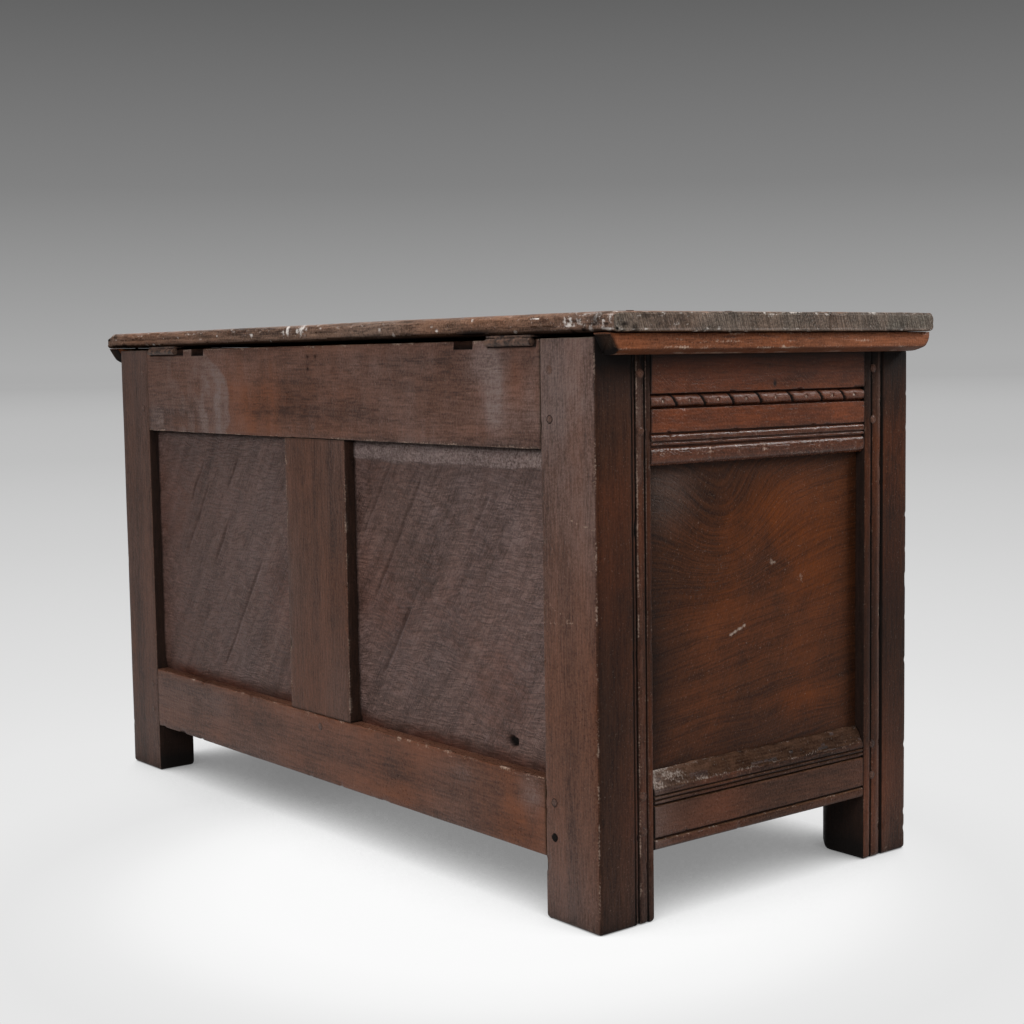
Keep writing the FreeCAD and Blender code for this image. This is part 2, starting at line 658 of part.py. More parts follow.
for face in ("left", "right"):
    keep(f"floor_ledger_{face}", block(f"floor_ledger_{face}", face, ("-(end_run)", "end_run"),
                                       ("tenon_set_in + panel_field + floor_slack",
                                        "tenon_set_in + panel_field + floor_slack + ledger_width"),
                                       ("ledger_low", "floor_low")))
group("floor_nails", floor_nails)

# Drawer: front, two grooved sides nailed to it, back, bottom boards nailed up under them, two turned knobs.
front_stock = block("drawer_front_stock", "front", ("-(drawer_half)", "drawer_half"),
                    ("0", "drawer_front_thickness"), ("drawer_low", "drawer_high"))
knob_height = "(drawer_low + drawer_high) / 2"
dowel_holes = []
for side, sign in (("left", "-"), ("right", "")):
    side_stock = block(f"drawer_side_{side}_stock", "front", on_side(side, "drawer_inner", "drawer_half"),
                       ("drawer_front_thickness", "drawer_length"), ("drawer_floor", "drawer_side_high"))
    channel = block(f"drawer_side_{side}_channel", "front",
                    on_side(side, "bearer_face - bearer_clearance", "drawer_half + overrun"),
                    ("drawer_front_thickness - overrun", "drawer_length + overrun"),
                    ("bearer_low - bearer_clearance", "bearer_high + bearer_clearance"))
    keep(f"drawer_side_{side}", cut(f"drawer_side_{side}", side_stock, [channel]))
    knob_place = f"{sign}{KNOB_PLACE_SHARE} * drawer_half"
    knob_body, knob_outline = drawn_body(f"drawer_knob_{side}", "XZ_Plane", [
        ("0", "-(drawer_front_thickness)"), ("knob_dowel_diameter / 2", "-(drawer_front_thickness)"),
        ("knob_dowel_diameter / 2", "0"), ("knob_neck_diameter / 2", "0"),
        ("knob_neck_diameter / 2", "knob_neck"),
        ("knob_diameter / 2", f"knob_neck + (knob_projection - knob_neck) * {1 - KNOB_CROWN_SHARE}"),
        ("knob_diameter / 2", f"knob_neck + (knob_projection - knob_neck) * {KNOB_CROWN_SHARE}"),
        ("knob_neck_diameter / 2", "knob_projection"), ("0", "knob_projection")])
    turning = knob_body.newObject("PartDesign::Revolution", f"drawer_knob_{side}_turning")
    turning.Profile = knob_outline
    turning.ReferenceAxis = (next(f for f in knob_body.Origin.OriginFeatures if f.Role == "Z_Axis"), [""])
    knob_body.Tip = turning
    stand(knob_body, "front", knob_place, "0", knob_height, "out")
    keep(f"drawer_knob_{side}", knob_body)
    dowel_holes.append(rod(f"drawer_knob_{side}_hole", "front", "in", (knob_place, "-(overrun)", knob_height),
                           "knob_dowel_diameter + 2 * peg_clearance", "drawer_front_thickness + 2 * overrun"))
keep("drawer_front", cut("drawer_front", front_stock, dowel_holes))
keep("drawer_back", block("drawer_back", "front", ("-(drawer_inner)", "drawer_inner"),
                          ("drawer_length - drawer_back_thickness", "drawer_length"),
                          ("drawer_floor", "drawer_side_high")))
for side in ("left", "right"):
    keep(f"drawer_bottom_{side}", block(f"drawer_bottom_{side}", "front", on_side(side, "0", "drawer_half"),
                                        ("drawer_front_thickness", "drawer_length"),
                                        ("drawer_low", "drawer_floor")))

# Lid: two boards nailed down to a cleat at each end, with the hinge leaves under the back board.
lid_nails = []
nail_holes = []
for side in ("left", "right"):
    for number, share in enumerate(LID_NAIL_SHARES, start=1):
        across = on_side(side, "cleat_mid", "cleat_mid")[0]
        along = f"lid_front + {share} * (lid_back - (lid_front))"
        nail, holes = wire_nail(f"lid_nail_{side}_{number}", (across, along, "lid_top"))
        lid_nails.append(nail)
        nail_holes += holes
    section = [("-(cleat_clearance)", "cleat_low"), ("-(cleat_clearance)", "lid_under"),
               ("half_length - (cleat_far)", "lid_under"),
               ("half_length - (cleat_far)", "cleat_low + cleat_chamfer_height"),
               ("half_length - (cleat_far) + cleat_chamfer_width", "cleat_low")]
    reach = "carcass_depth / 2 + lid_front_overhang"
    bar = moulded(f"cleat_{side}_bar", side, section, (f"-({reach})", reach))
    outline = padded(f"cleat_{side}_outline", "YZ_Plane", [
        ("lid_front", "lid_under"), ("lid_back", "lid_under"), ("lid_back - cleat_end_slant", "cleat_low"),
        ("lid_front + cleat_end_slant", "cleat_low")], "2 * cleat_far")
    stand(outline, "plan", "-(cleat_far)", "0", "0")
    slanted = doc.addObject("Part::MultiCommon", f"cleat_{side}_slanted")
    slanted.Shapes = [bar, outline]
    keep(f"cleat_{side}", cut(f"cleat_{side}", slanted, nail_holes[-2 * len(LID_NAIL_SHARES):]))
BOARDS = {
    "lid_board_front": [("lid_joint", "lid_under"), ("lid_joint", "lid_top"),
                        ("lid_front + lid_ease", "lid_top"), ("lid_front", "lid_top - lid_ease"),
                        ("lid_front", "lid_under + lid_ease"), ("lid_front + lid_ease", "lid_under")],
    "lid_board_back": [("lid_joint", "lid_top"), ("lid_joint", "lid_under"),
                       ("lid_back - lid_ease", "lid_under"), ("lid_back", "lid_under + lid_ease"),
                       ("lid_back", "lid_top - lid_ease"), ("lid_back - lid_ease", "lid_top")],
}
for label, section in BOARDS.items():
    stock = moulded(f"{label}_stock", "plan", section, ("-(lid_half)", "lid_half"))
    keep(label, cut(label, stock, nail_holes + screw_holes["lid"]))
group("lid_nails", lid_nails)

doc.recompute()
failed = [item.Name for item in doc.Objects if "Invalid" in item.State or "Error" in item.State]
if failed:
    raise RuntimeError(f"objects failed to build: {failed}")
for label, piece in sub_parts.items():
    if piece.Shape.isNull() or not piece.Shape.isValid() or not piece.Shape.Solids:
        raise RuntimeError(f"{label} has no valid solid")

os.makedirs("parts", exist_ok=True)
for label, piece in sub_parts.items():
    piece.Shape.exportStep(f"parts/{label}.step")
    print(label, len(piece.Shape.Solids), round(piece.Shape.Volume))
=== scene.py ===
"""Looks of the joined oak mule chest: worn riven oak, run mouldings and iron hinges on a pale studio floor.

Metres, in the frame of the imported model: +Z up, the hinged back at +Y, the carved end that shows at -X.
"""

import bpy
import numpy as np
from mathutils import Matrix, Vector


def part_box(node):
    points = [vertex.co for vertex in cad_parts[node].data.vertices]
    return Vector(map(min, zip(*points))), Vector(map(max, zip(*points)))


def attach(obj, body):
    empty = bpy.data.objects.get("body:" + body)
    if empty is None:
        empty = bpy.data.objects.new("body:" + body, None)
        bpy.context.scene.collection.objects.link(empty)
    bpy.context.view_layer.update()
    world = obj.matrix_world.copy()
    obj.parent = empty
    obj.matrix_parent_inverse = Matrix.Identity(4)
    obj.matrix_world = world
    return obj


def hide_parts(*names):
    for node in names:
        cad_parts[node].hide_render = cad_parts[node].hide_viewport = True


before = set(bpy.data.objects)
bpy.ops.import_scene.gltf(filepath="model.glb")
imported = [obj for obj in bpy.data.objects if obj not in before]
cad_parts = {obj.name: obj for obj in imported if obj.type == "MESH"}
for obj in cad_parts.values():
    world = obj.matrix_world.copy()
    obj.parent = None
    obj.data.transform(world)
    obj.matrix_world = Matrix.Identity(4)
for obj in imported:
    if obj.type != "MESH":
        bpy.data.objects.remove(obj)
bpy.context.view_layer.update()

# Stiles. Four riven oak posts that stand on the floor, sawn at the foot and left waney at the hidden corner.
# A scratch stock has run quirks and a bead down each end face. Rails are tenoned and pegged into them.
MM = 0.001
ANY = 9000
CAP_RIM = 1.5 * MM
ARC_POINTS = 5
FULL_RADIUS = 1.5 * MM
RIDGE_FADE = 5 * MM
HOLLOW_FADE = 1.1 * MM
JOINT_FADE = 1.2 * MM
OUTER_RADIUS, FACE_RADIUS, WANE_RADIUS, BACK_RADIUS, FLANK_RADIUS = np.array((3.4, 1.2, 3, 4, 1.5)) * MM
QUIRK_LIP = 0.5
QUIRK_RADIUS = 0.2 * MM
BACK_POST = {"side": 54 * MM, "flank": 40 * MM, "bead": 59.5 * MM, "chip": 1.8 * MM,
             "quirks": ((66.5, 68.5, 1.8, 2.6, 0.7), (53, 56, 2.6, 0.8, 2.6), (48.6, 50.4, 1.0, 0.6, 0.6))}
FRONT_POST = {"side": 50 * MM, "flank": 58 * MM, "bead": 51 * MM, "chip": 1.0 * MM,
              "quirks": ((62.5, 64.5, 1.6, 3.0, 0.7), (43.5, 47, 2.6, 0.8, 3.0))}
BEAD_REACH = 2.6 * MM
SCRATCHES = np.array((((-463, 422), (-513, 410)), ((-430, 336), (-478, 314)),
                      ((-428, 310), (-478, 314)))) * MM
SCRATCH_WIDTH = 1.4 * MM
FOOT_RADIUS, TOP_RADIUS = 5 * MM, 1 * MM
CLEAT_DROP = 18 * MM
INSIDE_DEPTH, INSIDE_LEVEL = 22 * MM, 250 * MM


def span(node):
    """A node's lowest and highest corner as two arrays."""
    return tuple(np.array(corner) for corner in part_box(node))


def steps(low, high, pace):
    """Evenly spaced places from low to high, about one pace apart."""
    return np.linspace(low, high, max(2, round((high - low) / pace) + 1))


def number_of(name):
    """A steady number for a piece, from the letters of its name, so that each piece has its own figure."""
    return sum(letter * place for place, letter in enumerate(name.encode(), start=1)) % 97


def parted(array):
    """The last axis of an array as views: the X, Y and Z of points, or a finish's shares of rubbed, grime and
    painted shade, bloom and painted sheen, and warm. What is written into a view is written into the array."""
    return np.moveaxis(array, -1, 0)


def held(value):
    """A value, held between 0 and 1."""
    return np.clip(value, 0, 1)


def bell(distance, reach, power=2):
    """1 at no distance, falling as a bell over the reach. A higher power gives it squarer shoulders."""
    return np.exp(-(distance / reach) ** power)


def fading(distance, reach):
    """1 at no distance, falling ever more slowly, to about a third at the reach."""
    return np.exp(-distance / reach)


def drift(points, cell, seed):
    """Smooth noise from -1 to 1: a hashed value at each corner of a lattice cell, eased between corners. The
    cell is in millimetres, one size for all axes or one for each."""
    spot = points / (np.asarray(cell) * MM) + 17.3 * seed
    corner = np.floor(spot).astype(np.int64)
    ease = spot - corner
    ease = ease * ease * (3 - 2 * ease)
    total = np.zeros(points.shape[:-1])
    for offset in np.ndindex(2, 2, 2):
        key = (corner + offset) @ np.array([374761393, 668265263, 1440662683])
        key = (key ^ (key >> 13)) * 1274126177
        value = ((key ^ (key >> 16)) & 65535) / 32767.5 - 1
        total += value * np.prod(np.where(offset, ease, 1 - ease), axis=-1)
    return total


def scored(first, second, start, end, width):
    """A straight scratch: 1 on the line from start to end, fading as a bell over its width."""
    run = np.subtract(end, start)
    share = held(((first - start[0]) * run[0] + (second - start[1]) * run[1]) / (run @ run))
    return bell(np.hypot(first - start[0] - share * run[0], second - start[1] - share * run[1]), width)


def rounded(corners, pace=4 * MM):
    """A closed outline from corners (first, second, radius). Straight runs are cut into paces, one pace for
    all or one for each run, and an arc that starts and ends one radius from each corner eases it. Returns the
    points, their ways outward, and how near each lies to a jutting corner (ridge) and a sunk one (hollow)."""
    corners = np.array(corners, float)
    place, radius = corners[:, :2], corners[:, 2]
    pace = np.broadcast_to(pace, len(place))
    ahead = np.roll(place, -1, 0)
    if np.sum(place[:, 0] * ahead[:, 1] - ahead[:, 0] * place[:, 1]) < 0:
        place, radius, pace = place[::-1], radius[::-1], np.roll(pace[::-1], -1)
    edge = np.roll(place, -1, 0) - place
    way_out = edge / np.linalg.norm(edge, axis=1, keepdims=True)
    way_in = np.roll(way_out, 1, 0)
    start, end = place - way_in * radius[:, None], place + way_out * radius[:, None]
    bend = way_in[:, 0] * way_out[:, 1] - way_in[:, 1] * way_out[:, 0]
    turn = np.arccos(np.clip(np.sum(way_in * way_out, axis=1), -1, 1))
    runs = []
    for n in range(len(place)):
        swing = radius[n] / np.tan(turn[n] / 2)
        side = np.sign(bend[n]) * np.array([-way_in[n, 1], way_in[n, 0]])
        hub = start[n] + side * swing
        fine = min(pace[n], pace[n - 1])
        share = np.linspace(0, 1, max(ARC_POINTS, round(swing * turn[n] / fine) + 1))[:, None]
        arm_in, arm_out = start[n] - hub, end[n] - hub
        runs.append(hub + (np.sin((1 - share) * turn[n]) * arm_in + np.sin(share * turn[n]) * arm_out)
                    / np.sin(turn[n]))
        following = start[(n + 1) % len(place)]
        paces = max(1, round(np.linalg.norm(following - end[n]) / pace[n]))
        runs.append(end[n] + (following - end[n]) * np.arange(1, paces)[:, None] / paces)
    points = np.concatenate(runs)
    tangent = np.roll(points, -1, 0) - np.roll(points, 1, 0)
    ways = np.stack([tangent[:, 1], -tangent[:, 0]], 1) / np.linalg.norm(tangent, axis=1, keepdims=True)
    far = np.linalg.norm(points[:, None] - place, axis=2)
    juts = (bend > 0) * held(radius / FULL_RADIUS)
    ridge = np.max(juts * bell(far, RIDGE_FADE), axis=1)
    hollow = np.max((bend < 0) * bell(far, HOLLOW_FADE), axis=1)
    return points, ways, ridge, hollow


def carried(axis, outline, path, seed, rub=0.7 * MM, chip=1.6 * MM, wave=0.3 * MM, ends=(0.5 * MM, 0.5 * MM),
            keep=1, seam=0.0):
    """A closed outline carried along one axis: point (i, j) has station i on that axis and outline point j on
    the next two. At each end the outline draws in along a quarter circle, where keep lets it. The surface
    gives way inward by the rub and the chips of its arrises and by a slow plane wave. Seam is how dark the
    joint at each end is. Returns points, ways outward and the finish."""
    points, ways, ridge, hollow = outline
    turn = np.linspace(0, np.pi / 2, 6)
    first, last = path[0], path[-1]
    middle = path[(path > first + ends[0] + 0.2 * MM) & (path < last - ends[1] - 0.2 * MM)]
    path = np.concatenate([[first], first + ends[0] * (1 - np.cos(turn)), middle,
                           last - ends[1] * (1 - np.cos(turn[::-1])), [last]])
    draw = np.concatenate([[ends[0] + CAP_RIM], ends[0] * (1 - np.sin(turn)), 0 * middle,
                           ends[1] * (1 - np.sin(turn[::-1])), [ends[1] + CAP_RIM]])
    pull = sum(np.roll(ways, shift, 0) for shift in range(-5, 6))
    pull = pull / np.linalg.norm(pull, axis=1, keepdims=True) * keep
    spot = np.zeros((len(path), len(points), 3))
    way = np.zeros_like(spot)
    spot[..., axis] = path[:, None]
    for n in (0, 1):
        side = (axis + 1 + n) % 3
        spot[..., side] = points[:, n] - draw[:, None] * pull[:, n]
        way[..., side] = ways[:, n]
    nick = ridge * held(2.6 * drift(spot, 10, seed + 1) - 1.15)
    grind = ridge * rub * (0.7 + 0.3 * drift(spot, 60, seed))
    plane = wave * (0.55 + 0.45 * drift(spot, 80, seed + 2))
    spot = spot - way * (grind + chip * nick + plane)[..., None]
    finish = np.zeros(spot.shape[:-1] + (4,))
    finish[..., 0] = held(ridge ** 5 * (0.25 + 0.75 * drift(spot, 14, seed + 3)) + 0.6 * ridge ** 2 * nick)
    to_end = np.minimum(np.abs(spot[..., axis] - first), np.abs(last - spot[..., axis]))
    finish[..., 1] = np.maximum(0.65 * hollow, seam * bell(to_end, JOINT_FADE))
    return spot, way, finish


def blank(name):
    """A new material, its node tree and its surface shader."""
    material = bpy.data.materials.new(name)
    material.use_nodes = True
    return material, material.node_tree, material.node_tree.nodes["Principled BSDF"]


def feed(tree, socket, value):
    """Links a socket to another node's output, or sets it to a plain value."""
    if isinstance(value, bpy.types.NodeSocket):
        tree.links.new(value, socket)
    else:
        socket.default_value = value


def mottle(tree, vector, scale, detail=3.0, roughness=0.55, distortion=0.0):
    """Cloudy noise on a vector stretched by a scale for all axes or for each, in cells per metre."""
    mapping, noise = tree.nodes.new("ShaderNodeMapping"), tree.nodes.new("ShaderNodeTexNoise")
    mapping.inputs["Scale"].default_value = np.broadcast_to(scale, 3)
    tree.links.new(vector, mapping.inputs["Vector"])
    tree.links.new(mapping.outputs["Vector"], noise.inputs["Vector"])
    settings = {"Scale": 1.0, "Detail": detail, "Roughness": roughness, "Distortion": distortion}
    for name, value in settings.items():
        noise.inputs[name].default_value = value
    return noise.outputs["Fac"]


def ranged(tree, value, low, high, start=0.0, end=1.0):
    """Carries a value from one range to another, and holds it inside."""
    made = tree.nodes.new("ShaderNodeMapRange")
    for socket, number in zip(made.inputs, (value, low, high, start, end)):
        feed(tree, socket, number)
    return made.outputs["Result"]


def worked(tree, operation, *values):
    """One sum on plain numbers or sockets."""
    made = tree.nodes.new("ShaderNodeMath")
    made.operation = operation
    for socket, value in zip(made.inputs, values):
        feed(tree, socket, value)
    return made.outputs["Value"]


def blended(tree, share, first, second):
    """Lays a second colour over a first by a share."""
    made = tree.nodes.new("ShaderNodeMix")
    made.data_type = "RGBA"
    for socket, value in zip((made.inputs[0], made.inputs[6], made.inputs[7]), (share, first, second)):
        feed(tree, socket, value)
    return made.outputs[2]


def embossed(tree, shader, relief, strength, height):
    """Raises a shader's surface by a relief."""
    bump = tree.nodes.new("ShaderNodeBump")
    bump.inputs["Strength"].default_value = strength
    bump.inputs["Distance"].default_value = height
    tree.links.new(relief, bump.inputs["Height"])
    tree.links.new(bump.outputs["Normal"], shader.inputs["Normal"])


def tone(red, green, blue):
    """A colour from its screen bytes, as linear light."""
    screen = np.array([red, green, blue]) / 255
    return tuple(np.where(screen > 0.04045, ((screen + 0.055) / 1.055) ** 2.4, screen / 12.92)) + (1.0,)


# Dark colour for grime and for painted shade.
GRIME_AND_SHADE = tone(16, 11, 9)
SAW_SLANT, SILK_SLANT = 0.3, -0.6
BAND_CELLS, PORE_CELLS, FLECK_CELLS = (2.2, 32, 32), (40, 520, 520), (380, 64, 64)
RAY_CELLS, SAW_CELLS = (45, 60, 620), (40, 480, 26)
FIBRE_WIDTHS, GRIT_CELLS, STAIN_CELLS, DUST_CELLS = 430, 430, 9, 420


def aged_oak(name, dark, light, warm, bloom, bare, roughness, figure, fibres=0.7, bands=1.0, silk=0.0,
             hatch=0.0, shine=0.13, fibre_pace=42):
    """Old oak. Fibres, broad bands and a gritty surface blend a dark and a light brown, and a warm glow and a
    dull bloom lie over them by the finish; the bloom share also carries painted sheen and highlights. Then
    ray flecks, pores, pits and specks break the surface, and rubbed and grimy places close it; the grimy
    share also carries painted shade. End grain may show the hatch of the saw. Colours are screen bytes."""
    dark, light, warm, bloom, bare = (tone(*colour) for colour in (dark, light, warm, bloom, bare))
    material, tree, shader = blank(name)
    grain_read, finish_read, split, place, slant = (tree.nodes.new(f"ShaderNode{kind}") for kind in (
        "Attribute", "Attribute", "SeparateColor", "TexCoord", "VectorRotate"))
    grain_read.attribute_name = "grain"
    finish_read.attribute_name = "finish"
    tree.links.new(finish_read.outputs["Color"], split.inputs[0])
    rubbed, grime_and_shade, bloom_and_sheen = split.outputs
    grain, spot = grain_read.outputs["Vector"], place.outputs["Object"]
    slant.rotation_type = "X_AXIS"
    slant.inputs["Angle"].default_value = SAW_SLANT if hatch else SILK_SLANT
    tree.links.new(spot, slant.inputs["Vector"])
    slanted = slant.outputs["Vector"]

    def times(value, share):
        """A value times a share."""
        return worked(tree, "MULTIPLY", value, share)

    def joined(value, share, rest):
        """A value times a share, added to the rest."""
        return worked(tree, "MULTIPLY_ADD", value, share, rest)

    broad = mottle(tree, grain, BAND_CELLS)
    fibre = mottle(tree, grain, (fibre_pace, FIBRE_WIDTHS, FIBRE_WIDTHS), 2, 0.5)
    grit = mottle(tree, spot, GRIT_CELLS, 2, 0.5)
    stain = mottle(tree, spot, STAIN_CELLS, 5, 0.62)
    dust = mottle(tree, spot, DUST_CELLS, 2)
    pores = ranged(tree, mottle(tree, grain, PORE_CELLS, 2), 0.56, 0.68)
    flecks = ranged(tree, mottle(tree, grain, FLECK_CELLS, 1, 0.5, 0.4), 0.4, 0.6)
    rays = ranged(tree, mottle(tree, slanted, RAY_CELLS, 2, 0.5, 0.5), 0.44, 0.62)
    cuts = ranged(tree, mottle(tree, slanted, SAW_CELLS, 1, 0.5, 0.3), 0.42, 0.6)
    specks, pits = ranged(tree, dust, 0.66, 0.74), ranged(tree, dust, 0.36, 0.28)
    middle = 0.5 * (fibres + bands + 0.6)
    shade = joined(grit, 0.6, joined(fibre, fibres, times(broad, bands)))
    shade = ranged(tree, shade, middle - 0.26, middle + 0.26)
    glow = times(finish_read.outputs["Alpha"], ranged(tree, stain, 0.38, 0.6, 0.2, 1.0))
    glow = times(glow, ranged(tree, shade, 0, 1, 0.45, 1.0))
    film = ranged(tree, joined(grit, 0.5, joined(fibre, 0.5, stain)), 0.84, 1.16, 0.3, 1.0)
    worn = ranged(tree, joined(dust, 0.9, rubbed), 0.6, 1.0)
    colour = blended(tree, shade, dark, light)
    for share, coat in ((glow, warm), (times(bloom_and_sheen, film), bloom),
                        (joined(flecks, -0.5 * figure, 0.5 * figure), dark), (times(pores, 0.14), dark),
                        (times(rays, silk), light), (times(pits, 0.35), GRIME_AND_SHADE), (times(cuts, hatch), dark),
                        (worked(tree, "MAXIMUM", worn, times(specks, 0.25)), bare), (grime_and_shade, GRIME_AND_SHADE)):
        colour = blended(tree, share, colour, coat)
    relief = joined(fibre, 0.7, grit)
    for height, share in ((flecks, 1.4 * figure), (rays, 1.2 * silk), (cuts, -hatch), (pores, -0.35)):
        relief = joined(height, share, relief)
    dull = joined(grime_and_shade, 0.5, joined(bloom_and_sheen, 0.2, joined(grit, 0.2, roughness - 0.1)))
    shader.inputs["Specular IOR Level"].default_value = shine
    tree.links.new(colour, shader.inputs["Base Color"])
    tree.links.new(dull, shader.inputs["Roughness"])
    embossed(tree, shader, times(relief, ranged(tree, bloom_and_sheen, 0.1, 0.5, 0.35, 1.0)), 0.8, 1.0 * MM)
    return material


def solid(name, points, quads, caps, grain, finish, materials, kinds=None):
    """One closed mesh from points, quads and flat caps, with its grain and its finish and painted shading
    kept on the points. Faces are turned outward by the sign of the volume they enclose, summed over triangles
    about the middle."""
    arms = points - points.mean(0)
    fans = [arms[cap] for cap in caps] + [arms[quads].transpose(1, 0, 2)]
    enclosed = sum(np.sum(ring[0] * np.cross(ring[1:-1], ring[2:])) for ring in fans)
    if enclosed < 0:
        quads = quads[:, ::-1]
        caps = [cap[::-1] for cap in caps]
    corners = np.concatenate([quads.ravel(), *caps]).astype(np.int32)
    sizes = np.array([4] * len(quads) + [len(cap) for cap in caps])
    mesh = bpy.data.meshes.new(name)
    mesh.vertices.add(len(points))
    mesh.vertices.foreach_set("co", points.astype(np.float32).ravel())
    mesh.loops.add(len(corners))
    mesh.loops.foreach_set("vertex_index", corners)
    mesh.polygons.add(len(sizes))
    mesh.polygons.foreach_set("loop_start", (np.cumsum(sizes) - sizes).astype(np.int32))
    mesh.polygons.foreach_set("use_smooth", sizes == 4)
    if kinds is not None:
        mesh.polygons.foreach_set("material_index", kinds.astype(np.int32))
    mesh.update(calc_edges=True)
    for kept, kind, field, values in (("grain", "FLOAT_VECTOR", "vector", grain),
                                      ("finish", "FLOAT_COLOR", "color", held(finish))):
        mesh.attributes.new(kept, kind, "POINT").data.foreach_set(field, values.astype(np.float32).ravel())
    for material in materials:
        mesh.materials.append(material)
    piece = bpy.data.objects.new(name, mesh)
    bpy.context.scene.collection.objects.link(piece)
    return piece


def settled(piece, node, body):
    """Puts a made piece in its node's place, on the node's body, and hides the node's own mesh."""
    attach(piece, body)
    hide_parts(node)
    return piece


def timber(node, body, materials, axis, spot, finish):
    """A carried outline as a piece of wood whose fibres run along the same axis. A second material, if there
    is one, covers the end grain."""
    rows, columns = spot.shape[:2]
    index = np.arange(rows * columns).reshape(rows, columns)
    ahead = np.roll(index, -1, 1)
    quads = np.stack([index[:-1], ahead[:-1], ahead[1:], index[1:]], -1).reshape(-1, 4)
    sawn = np.abs(np.gradient(spot[..., axis].mean(1))) < 0.3 * MM
    kinds = np.concatenate([np.repeat(sawn[:-1] | sawn[1:], columns), [True, True]]) * (len(materials) - 1)
    points = spot.reshape(-1, 3)
    grain = np.roll(points, -axis, 1) + number_of(node) * np.array([0.37, 0.61, 0.29])
    piece = solid(f"worn_{node}", points, quads, [index[0, ::-1], index[-1]], grain, finish.reshape(-1, 4),
                  materials, kinds)
    return settled(piece, node, body)


def refaced(piece, material, way):
    """Gives the faces that look mostly along a way another material."""
    count = len(piece.data.polygons)
    normals, kinds = np.zeros(3 * count, np.float32), np.zeros(count, np.int32)
    piece.data.polygons.foreach_get("normal", normals)
    piece.data.polygons.foreach_get("material_index", kinds)
    kinds[normals.reshape(-1, 3) @ np.array(way, np.float32) > 0.4] = len(piece.data.materials)
    piece.data.materials.append(material)
    piece.data.polygons.foreach_set("material_index", kinds)


def post_plan(node, left, back, post):
    """The plan of a stile: five corners counted inward from its outer corner, and its quirks cut into the end
    face as narrow troughs."""
    low, high = span(node)
    face, depth = (high - low)[:2]
    plan = [(0, 0, OUTER_RADIUS), (face, 0, FACE_RADIUS), (face, post["side"], WANE_RADIUS),
            (post["flank"], depth, BACK_RADIUS), (0, depth, FLANK_RADIUS)]
    for near, far, cut, near_radius, far_radius in post["quirks"]:
        near_lip, far_lip = min(near_radius, 0.9 * cut), min(far_radius, 0.9 * cut)
        plan += [(0, far * MM, far_lip * MM), (cut * MM, (far - QUIRK_LIP) * MM, QUIRK_RADIUS),
                 (cut * MM, (near + QUIRK_LIP) * MM, QUIRK_RADIUS), (0, near * MM, near_lip * MM)]
    across, deep, radius = np.array(plan).T
    x = low[0] + across if left else high[0] - across
    y = high[1] - deep if back else low[1] + deep
    return np.stack([x, y, radius], 1)


frame_oak = aged_oak("frame_oak", dark=(46, 27, 19), light=(106, 71, 55), warm=(128, 72, 40),
                     bloom=(126, 109, 104), bare=(184, 160, 142), roughness=0.3, figure=0.08)
waxed_oak = aged_oak("waxed_oak", dark=(31, 17, 10), light=(80, 49, 33), warm=(126, 64, 32),
                     bloom=(104, 88, 82), bare=(176, 152, 136), roughness=0.26, figure=0.08, shine=0.11)
end_oak = aged_oak("end_oak", dark=(44, 31, 25), light=(112, 88, 72), warm=(120, 76, 48),
                   bloom=(120, 108, 100), bare=(160, 142, 126), roughness=0.55, figure=0.1)

